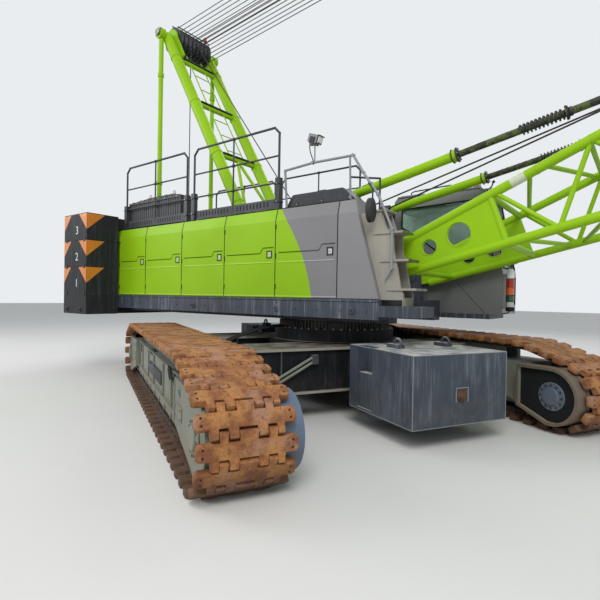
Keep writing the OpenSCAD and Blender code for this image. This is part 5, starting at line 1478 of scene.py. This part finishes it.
class CRANE_OT_winches(bpy.types.Operator):
    """Rope windings, flange bolts, gear cases, motors and hoses of the three winches."""
    bl_idname = "crane.winches"
    bl_label = "Winches"

    def execute(self, context):
        rope_r, z = context.scene.crane_sizes.rope / 2, DRUM_Z
        for word, x in (("front", -0.05), ("middle", -1.5), ("rear", -2.95)):
            body = f"winch_{word}"
            coils = [moved(x, -0.392 + 0.028 * k, z) for k in range(29)]
            windings = copies(ring((0, 0, 0), (0, 1, 0), DRUM_R, rope_r, 28), coils)
            finished(windings, f"{body}_rope", body, "rope")
            rims = [ring((x, s * 0.425, z), (0, 1, 0), 0.392, 0.010, 48) for s in SIDES]
            for s in SIDES:
                rims += bolts(circled((x, s * 0.44, z), 0.16, 10), (0, s, 0), 0.014, 0.014)
            rims += bolts([(x + 0.34, 0.44, z)], (0, 1, 0), 0.02, 0.02)
            finished(rims, f"{body}_rims", body, "steel")
            # Gear case and motor outside the stand, with hoses down to the frame
            case = [rod((x, near, z), (x, far, z), radius, sides, bevel=bevel)
                    for near, far, radius, sides, bevel in (
                        (-0.50, -0.60, 0.20, 32, 0.012), (0.50, 0.57, 0.17, 32, 0.01),
                        (-0.60, -0.74, 0.085, 24, 0.008))]
            case.append(block((x - 0.09, -0.82, z - 0.07), (x + 0.09, -0.72, z + 0.09), 0.012, segments=2))
            case += bolts(circled((x, -0.60, z), 0.175, 12), (0, -1, 0), 0.012, 0.012)
            finished(case, f"{body}_motor", "upper", "black")
            path = ((0, -0.79, z + 0.06), (0.04, -0.84, z + 0.18), (0.16, -0.82, z - 0.05),
                    (0.20, -0.80, DECK_TOP + 0.02))
            hoses = [tube([(x + shift + dx, y, height) for dx, y, height in path], 0.014, 8, True)
                     for shift in (-0.05, 0.0, 0.05)]
            finished(hoses, f"{body}_hoses", "upper", "hose")
        return {"FINISHED"}


def half_depth(s):
    """Half the boom's depth between its chords, at a distance from its foot."""
    share = max(0.0, min(1.0, (s - 13.4) / 7.7))
    return 0.167 + 0.09 * s if s < 7 else 0.797 + share * (0.3 - 0.797)


def half_width(s):
    return 0.93 + max(0.0, min(1.0, (s - 13.4) / 7.7)) * (0.42 - 0.93)


def chord(s, side, up):
    return Vector((s, side * half_width(s), up * half_depth(s)))


ROLLERS = (6.6, 13.3, 20.2, 21.22)


def pendant_way():
    """Direction from the pendants' root towards the gantry's head, in the boom's frame."""
    return (to_boom(GANTRY_HEAD) - PENDANT_ROOT).normalized()


def taut(falls, name):
    """A rope from the upper works to the boom: only its ends have points, so it stays straight."""
    piece = coloured(joined(falls, name), FINISH["rope"])
    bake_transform(piece)


class CRANE_OT_ropes(bpy.types.Operator):
    """Hoist ropes along the boom, luffing ropes to the bridle, and the falls over the sheaves."""
    bl_idname = "crane.ropes"
    bl_label = "Ropes"

    def execute(self, context):
        rope_r = context.scene.crane_sizes.rope / 2
        self.hoist(rope_r)
        self.luffing(rope_r * 0.85)
        return {"FINISHED"}

    def hoist(self, radius):
        """Two hoist ropes from the middle and the rear winch, over the boom's rollers to its head."""
        for number, (x, y, y_end) in enumerate(((-1.5, -0.06, -0.158), (-2.95, 0.20, 0.158)), 1):
            path = [(s, y + (y_end - y) * s / BOOM_LEN, half_depth(s) + 0.204 if s < 21 else 0.414)
                    for s in ROLLERS]
            path.append((BOOM_LEN + 0.197, y_end, -HEAD_DROP + 0.304))
            path = [BOOM @ Vector(spot) for spot in path]
            top = Vector((x, y, DRUM_Z + DRUM_R))
            taut([tube([top, path[0]], radius, 8)], f"hoist_lead_{number}")
            finished(tube(path, radius, 8), f"hoist_rope_{number}", "boom", "rope")

    def luffing(self, radius):
        """Eight falls between the gantry's sheaves and the bridle's, and the leads to their winches."""
        bridle = BOOM @ (PENDANT_ROOT + pendant_way() * PENDANT_LEN)
        line = (GANTRY_HEAD - bridle).normalized()
        up = Vector((-line.z, 0, line.x))
        if up.z < 0:
            up = -up
        for number in range(8):
            place = number - 3.5
            falls = [tube([GANTRY_HEAD + up * sign * 0.272 + Vector((0, 0.1237 * place, 0)),
                           bridle + up * sign * 0.222 + Vector((0, 0.1063 * place, 0))], radius)
                     for sign in SIDES]
            taut(falls, f"luffing_falls_{number + 1}")
        # From the front winch up to the gantry's head
        x, y = GANTRY_HEAD.x + 0.272, 0.062
        lead = tube([(-0.20, y, DECK_TOP + 0.76), (x, y, GANTRY_HEAD.z)], radius, 8)
        finished(lead, "luffing_lead", "upper", "rope")
        # Straight down from the head, round a small sheave between the girders, to the rear winch
        y, z = -0.14, 1.80
        lead = tube([(x, y, GANTRY_HEAD.z), (x, y, z), (x + 0.018, y, z - 0.042), (x + 0.06, y, z - 0.06),
                     (x + 0.102, y, z - 0.043), (-2.95, y, DECK_TOP + 0.2155)], radius, 8)
        finished(lead, "rear_winch_lead", "upper", "rope")
        sheave = [pin((x + 0.06, 0, z), (0, 0.79, 0), 0.02),
                  pin((x + 0.06, y, z), (0, 0.025, 0), 0.046, 28, bevel=0.006)]
        finished(sheave, "lead_sheave", "upper", "steel")


class CRANE_OT_gantry(bpy.types.Operator):
    """Pin heads, keeper plates, ladder, boards and lamp of the gantry."""
    bl_idname = "crane.gantry"
    bl_label = "Gantry"

    def execute(self, context):
        foot, head = GANTRY_FOOT, GANTRY_HEAD
        way = (head - foot).normalized()
        lime, bright, dark = [], [], []
        for side in SIDES:
            # Collars along each leg, and the pins at its ends with their keeper plates
            for share in (0.1, 0.30, *GANTRY_BARS):
                spot = foot.lerp(head, share) + Vector((0, side * 0.64, 0))
                lime.append(pin(spot, way * 0.03, 0.136, 32, bevel=0.006))
            for end, out in ((foot, 0.12), (head, 0.26)):
                x, y, z = end + Vector((0, side * (0.64 + out), 0))
                bright.append(rod((x, y, z), (x, y + side * 0.05, z), 0.075, 24, bevel=0.008))
                bright.append(slab((x, y, z + 0.075), side, 0.012, (0.11, 0.02), 0.003))
            # Back stays: turnbuckle collars and foot plates
            stay = Vector((head.x, side * 0.815, 0))
            for z in (2.35, 4.6, 7.2):
                lime.append(pin(stay + Vector((0, 0, z)), (0, 0, 0.05), 0.072, 28, bevel=0.008))
            lime.append(brick(stay + Vector((0, 0, DECK_TOP + 0.0155)), (0.13, 0.10, 0.0145), 0.005))
            corners = [stay + Vector((x, y, DECK_TOP + 0.03)) for x in (-0.1, 0.1) for y in (-0.075, 0.075)]
            bright += bolts(corners, (0, 0, 1), 0.016, 0.018)
        # Ladder between the legs, and a board on each cross member
        right, left = (Vector((0, y, 0.05)) for y in (-0.25, 0.20))
        for edge in (right, left):
            lime.append(rod(foot.lerp(head, 0.486) + edge, foot.lerp(head, 0.93) + edge, 0.014, 8))
        for k in range(7):
            spot = foot.lerp(head, 0.51 + 0.066 * k)
            lime.append(rod(spot + right, spot + left, 0.012, 8))
        for share in GANTRY_BARS:
            x, _, z = foot.lerp(head, share)
            dark.append(brick((x, 0, z + 0.0625), (0.075, 0.5, 0.0125), 0.004))
        # Rope keepers over the head sheaves and a lamp on its bracket
        for turn in (-0.7, 0.0, 0.7):
            spot = head + Vector((math.sin(turn) * 0.33, 0, math.cos(turn) * 0.33))
            dark.append(pin(spot, (0, 0.5, 0), 0.014, 10))
        dark.append(post(head + Vector((0, 0.55, 0.20)), 0.22, 0.016, 10))
        finished(lime, "gantry_collars", "upper", "lime")
        finished(bright, "gantry_pins", "upper", "steel")
        finished(dark, "gantry_boards", "upper", "rail")
        lamp = post(head + Vector((0, 0.55, 0.42)), 0.10, 0.045, 20, bevel=0.012)
        finished(lamp, "gantry_lamp", "upper", "red_lens")
        return {"FINISHED"}


# Boom

class CRANE_OT_boom(bpy.types.Operator):
    """Pins, weld collars, bands, rollers and guards of the boom and its head."""
    bl_idname = "crane.boom"
    bl_label = "Boom"

    def execute(self, context):
        lime, bright, dark = [], [], []
        self.joints(lime, bright, dark)
        self.foot_plates(lime, bright)
        self.rollers(lime, dark)
        self.head(lime, bright, dark)
        # Plain pale band on the near top chord, blank
        band = rod(chord(2.41, -1, 1), chord(2.60, -1, 1), 0.0665, 32, BOOM)
        finished(band, "boom_bands", "boom", "label")
        finished(lime, "boom_collars", "boom", "lime")
        finished(bright, "boom_pins", "boom", "chrome")
        finished(dark, "boom_rollers", "boom", "black")
        self.pendant_ends()
        return {"FINISHED"}

    def joints(self, lime, bright, dark):
        """Pins and clips of the section joints, and weld collars where the lacing meets the chords."""
        chords = [(side, up) for side in SIDES for up in SIDES]
        clip = ((0, 0.112, 0), (0.02, 0.118, 0.05), (0.04, 0.112, 0), (0.02, 0.112, -0.05))
        for spot, side in [(chord(joint, side, up), side) for joint in (7.0, 13.0) for side, up in chords]:
            bright.append(pin(spot, (0, 0.125, 0), 0.032, 20, BOOM, 0.004))
            dark.append(tube([spot + Vector((x, side * y, z)) for x, y, z in clip], 0.004, 6, True, BOOM))
            for end in (-0.20, 0.20):
                lime.append(pin(spot + Vector((end, 0, 0)), (0.02, 0, 0), 0.094, 32, BOOM, 0.006))
        for s in [2.18, 2.75, 3.40, 4.11, 4.88, 5.68, 6.48] + [7.75 + 0.75 * k for k in range(7)]:
            lime += [pin(chord(s, side, up), (0.012, 0, 0), 0.0685, 24, BOOM) for side, up in chords]

    def foot_plates(self, lime, bright):
        """Rims of the two round holes, boss rings, stiffening strips and foot pins."""
        for side in SIDES:
            for face in SIDES:
                y = side * 0.93 + face * 0.0305
                lime.append(ring((1.10, y, 0), (0, 1, 0), 0.121, 0.008, 40, 6, BOOM))
                lime.append(ring((1.56, y, 0.01), (0, 1, 0), 0.176, 0.008, 48, 6, BOOM))
                lime.append(ring((0, y, 0), (0, 1, 0), 0.100, 0.012, 40, 6, BOOM))
            y = side * 0.93
            for up in SIDES:
                lime.append(rod((0.28, y, up * 0.185), (2.05, y, up * 0.345), 0.022, 12, BOOM))
            bright.append(rod((0, side * 1.045, 0), (0, side * 1.082, 0), 0.052, 24, BOOM, 0.006))
            bright.append(brick((0, side * 1.062, 0.05), (0.09, 0.006, 0.02), 0.003, BOOM))

    def rollers(self, lime, dark):
        """Rope rollers over the boom, each on a cross bar with two posts."""
        for s in ROLLERS[:3]:
            n, w = half_depth(s) + 0.14, half_width(s)
            dark.append(pin((s, 0, n), (0, w + 0.03, 0), 0.022, 12, BOOM))
            lime += [brick((s, side * w, n - 0.0275), (0.05, 0.02, 0.0725), 0.006, BOOM) for side in SIDES]
            dark += [pin((s, y, n), (0, 0.10, 0), 0.05, 24, BOOM, 0.006) for y in (-0.10, 0.19)]
        s, n = ROLLERS[3], 0.35
        dark.append(pin((s, 0, n), (0, 0.30, 0), 0.05, 24, BOOM, 0.006))
        for side in SIDES:
            lime.append(brick((s, side * 0.33, n - 0.02), (0.05, 0.02, 0.07), 0.006, BOOM))
            dark.append(rod((s, side * 0.29, n), (s, side * 0.36, n), 0.022, 12, BOOM))

    def head(self, lime, bright, dark):
        """Bosses of the head and the jib, the sheaves' pin with its bolts, and the sheave guards."""
        for side in SIDES:
            for face in SIDES:
                y = side * 0.42 + face * 0.0255
                lime.append(ring((BOOM_LEN, y, -HEAD_DROP), (0, 1, 0), 0.135, 0.012, 40, 6, BOOM))
                lime.append(ring((BOOM_LEN - 0.03, y, 0.15), (0, 1, 0), 0.058, 0.010, 28, 6, BOOM))
            ends = [(BOOM_LEN, side * y, -HEAD_DROP) for y in (0.445, 0.475)]
            bright.append(rod(*ends, 0.07, 24, BOOM, 0.006))
            spots = circled((BOOM_LEN, side * 0.4455, -HEAD_DROP), 0.105, 8)
            bright += bolts(spots, (0, side, 0), 0.012, 0.012, BOOM)
        for a in (math.radians(turn) for turn in (-30, 30, 90)):
            spot = (BOOM_LEN + 0.395 * math.cos(a), 0, -HEAD_DROP + 0.395 * math.sin(a))
            dark.append(pin(spot, (0, 0.395, 0), 0.013, 10, BOOM))

    def pendant_ends(self):
        """Sockets and pins along the pendants."""
        way, pieces = pendant_way(), []
        for side in SIDES:
            root = PENDANT_ROOT + Vector((0, side * 0.4803, 0))
            for joint in (PENDANT_LEN * share for share in (0.25, 0.5, 0.75)):
                pieces += [pin(root + way * (joint + end * 0.16), (0, 0.05, 0), 0.026, 16, BOOM, 0.004)
                           for end in SIDES]
                for end in SIDES:
                    spot = root + way * (joint + end * 0.21)
                    pieces.append(rod(spot, spot + way * end * 0.22, 0.038, 20, BOOM, end_radius=0.026))
            for run, end in ((0.10, 1), (16.80, -1)):
                spot = root + way * run
                pieces.append(rod(spot, spot + way * end * 0.30, 0.046, 20, BOOM, end_radius=0.026))
        finished(pieces, "pendant_sockets", "boom", "steel")


# Backstops and hook

def sleeve(x0, x1, radius, sides, place, bevel=0.0):
    """A round piece along the X axis of a place."""
    return rod((x0, 0, 0), (x1, 0, 0), radius, sides, place, bevel)


class CRANE_OT_backstops(bpy.types.Operator):
    """Collars, nuts, wear bands and pins of the backstops."""
    bl_idname = "crane.backstops"
    bl_label = "Backstops"

    def execute(self, context):
        collars, nuts, bands, eyes, heads, caps = [], [], [], [], [], []
        foot_x, foot_y, foot_z = BACKSTOP_FOOT
        for side in SIDES:
            place = turned(-BACKSTOP_ANGLE, "Y", (foot_x, side * foot_y, foot_z))
            collars.append(sleeve(1.832, 1.846, 0.108, 36, place, 0.004))
            collars.append(sleeve(1.900, 1.922, 0.112, 36, place, 0.006))
            for x, y, z in circled((1.922, 0, 0), 0.088, 8, "X"):
                nuts += bolts([(x, y, z)], (1, 0, 0), 0.013, 0.018, place)
                nuts.append(rod((1.846, y, z), (1.90, y, z), 0.008, 8, place))
            bands += [sleeve(x, x + 0.05, 0.079, 32, place, 0.004) for x in (0.42, 1.10)]
            bands.append(block((0.30, -0.035, 0.070), (0.52, 0.035, 0.085), 0.006, place))
            eyes += [rod((0, s * 0.113, 0), (0, s * 0.135, 0), 0.055, 24, place, 0.006) for s in SIDES]
            heads.append(sleeve(3.343, 3.356, 0.088, 32, place, 0.004))
            heads.append(sleeve(3.356, 3.40, 0.066, 6, place, 0.003))
            heads.append(sleeve(3.93, 3.99, 0.060, 32, place, 0.006))
            caps += [ring((4.09, s * 0.0555, 0), (0, 1, 0), 0.062, 0.008, 32, 6, place) for s in SIDES]
        finished(collars, "backstop_collars", "backstop_tubes", "black")
        finished(nuts, "backstop_nuts", "backstop_tubes", "steel")
        finished(bands, "backstop_bands", "backstop_tubes", "lime")
        finished(eyes, "backstop_pins", "upper", "steel")
        finished(heads, "backstop_rod_nuts", "backstop_rods", "black")
        finished(caps, "backstop_eye_rings", "backstop_rods", "steel")
        return {"FINISHED"}


class CRANE_OT_hook(bpy.types.Operator):
    """Cheek bolts, latch, swivel nut and stripes of the hook block."""
    bl_idname = "crane.hook"
    bl_label = "Hook block"

    def execute(self, context):
        at = Matrix.Translation(BOOM @ Vector((BOOM_LEN, 0, -HEAD_DROP)))
        cheek, sheave_z, stripe = 0.168, -0.69, 0.002
        bright, dark, yellow = [], [], []
        for side in SIDES:
            y, out = side * cheek, (0, side, 0)
            bright += bolts(circled((0, y, sheave_z), 0.20, 8), out, 0.014, 0.014, at)
            bright.append(rod((0, y, sheave_z), (0, side * 0.190, sheave_z), 0.085, 28, at, 0.006))
            bright += bolts([(x, y, -0.97) for x in (-0.05, 0.05)], out, 0.018, 0.018, at)
            yellow.append(ring((0, side * 0.170, sheave_z), (0, 1, 0), 0.242, 0.008, 48, 6, at))
            place = at @ moved(0, y + (stripe if side > 0 else 0), 0) @ ON_EDGE
            for x in (-0.11 + 0.072 * k for k in range(4)):
                outline = [(x, -0.80), (x + 0.035, -0.80), (x + 0.005, -0.88), (x - 0.030, -0.88)]
                dark.append(plate(outline, stripe, place))
        bright.append(rod((0, 0, -1.035), (0, 0, -1.075), 0.078, 6, at, 0.004))
        # Spring latch across the hook's mouth
        dark.append(tube([(0.055, 0, -1.105), (0.105, 0, -1.15), (0.118, 0, -1.20)], 0.011, 8, place=at))
        dark.append(pin((0.055, 0, -1.105), (0, 0.03, 0), 0.016, 12, at))
        finished(bright, "hook_block_bolts", "hook_block", "steel")
        finished(dark, "hook_block_stripes", "hook_block", "rubber")
        finished(yellow, "hook_block_rims", "hook_block", "yellow")
        return {"FINISHED"}


# The panel and the run

OPERATORS = (CRANE_OT_stage, CRANE_OT_finishes, CRANE_OT_tracks, CRANE_OT_side_frames, CRANE_OT_carbody,
             CRANE_OT_doors, CRANE_OT_houses, CRANE_OT_weights, CRANE_OT_body_weights, CRANE_OT_roof,
             CRANE_OT_front, CRANE_OT_cab, CRANE_OT_winches, CRANE_OT_ropes, CRANE_OT_gantry, CRANE_OT_boom,
             CRANE_OT_backstops, CRANE_OT_hook)


class CRANE_PT_panel(bpy.types.Panel):
    """Lists the crane's groups of pieces."""
    bl_idname = "CRANE_PT_panel"
    bl_label = "Lattice Boom Crane"
    bl_space_type = "VIEW_3D"
    bl_region_type = "UI"
    bl_category = "Crane"

    def draw(self, context):
        column = self.layout.column()
        for group in (context.scene.crane_colours, context.scene.crane_sizes):
            for name in group.__annotations__:
                column.prop(group, name)
        for operator in OPERATORS:
            column.operator(operator.bl_idname)


CLASSES = (CraneColours, CraneSizes, *OPERATORS, CRANE_PT_panel)


def register():
    for kind in CLASSES:
        bpy.utils.register_class(kind)
    bpy.types.Scene.crane_colours = bpy.props.PointerProperty(type=CraneColours)
    bpy.types.Scene.crane_sizes = bpy.props.PointerProperty(type=CraneSizes)


def unregister():
    del bpy.types.Scene.crane_sizes
    del bpy.types.Scene.crane_colours
    for kind in reversed(CLASSES):
        bpy.utils.unregister_class(kind)


def main():
    register()
    for operator in OPERATORS:
        getattr(bpy.ops.crane, operator.bl_idname.partition(".")[2])()


if __name__ == "__main__":
    main()
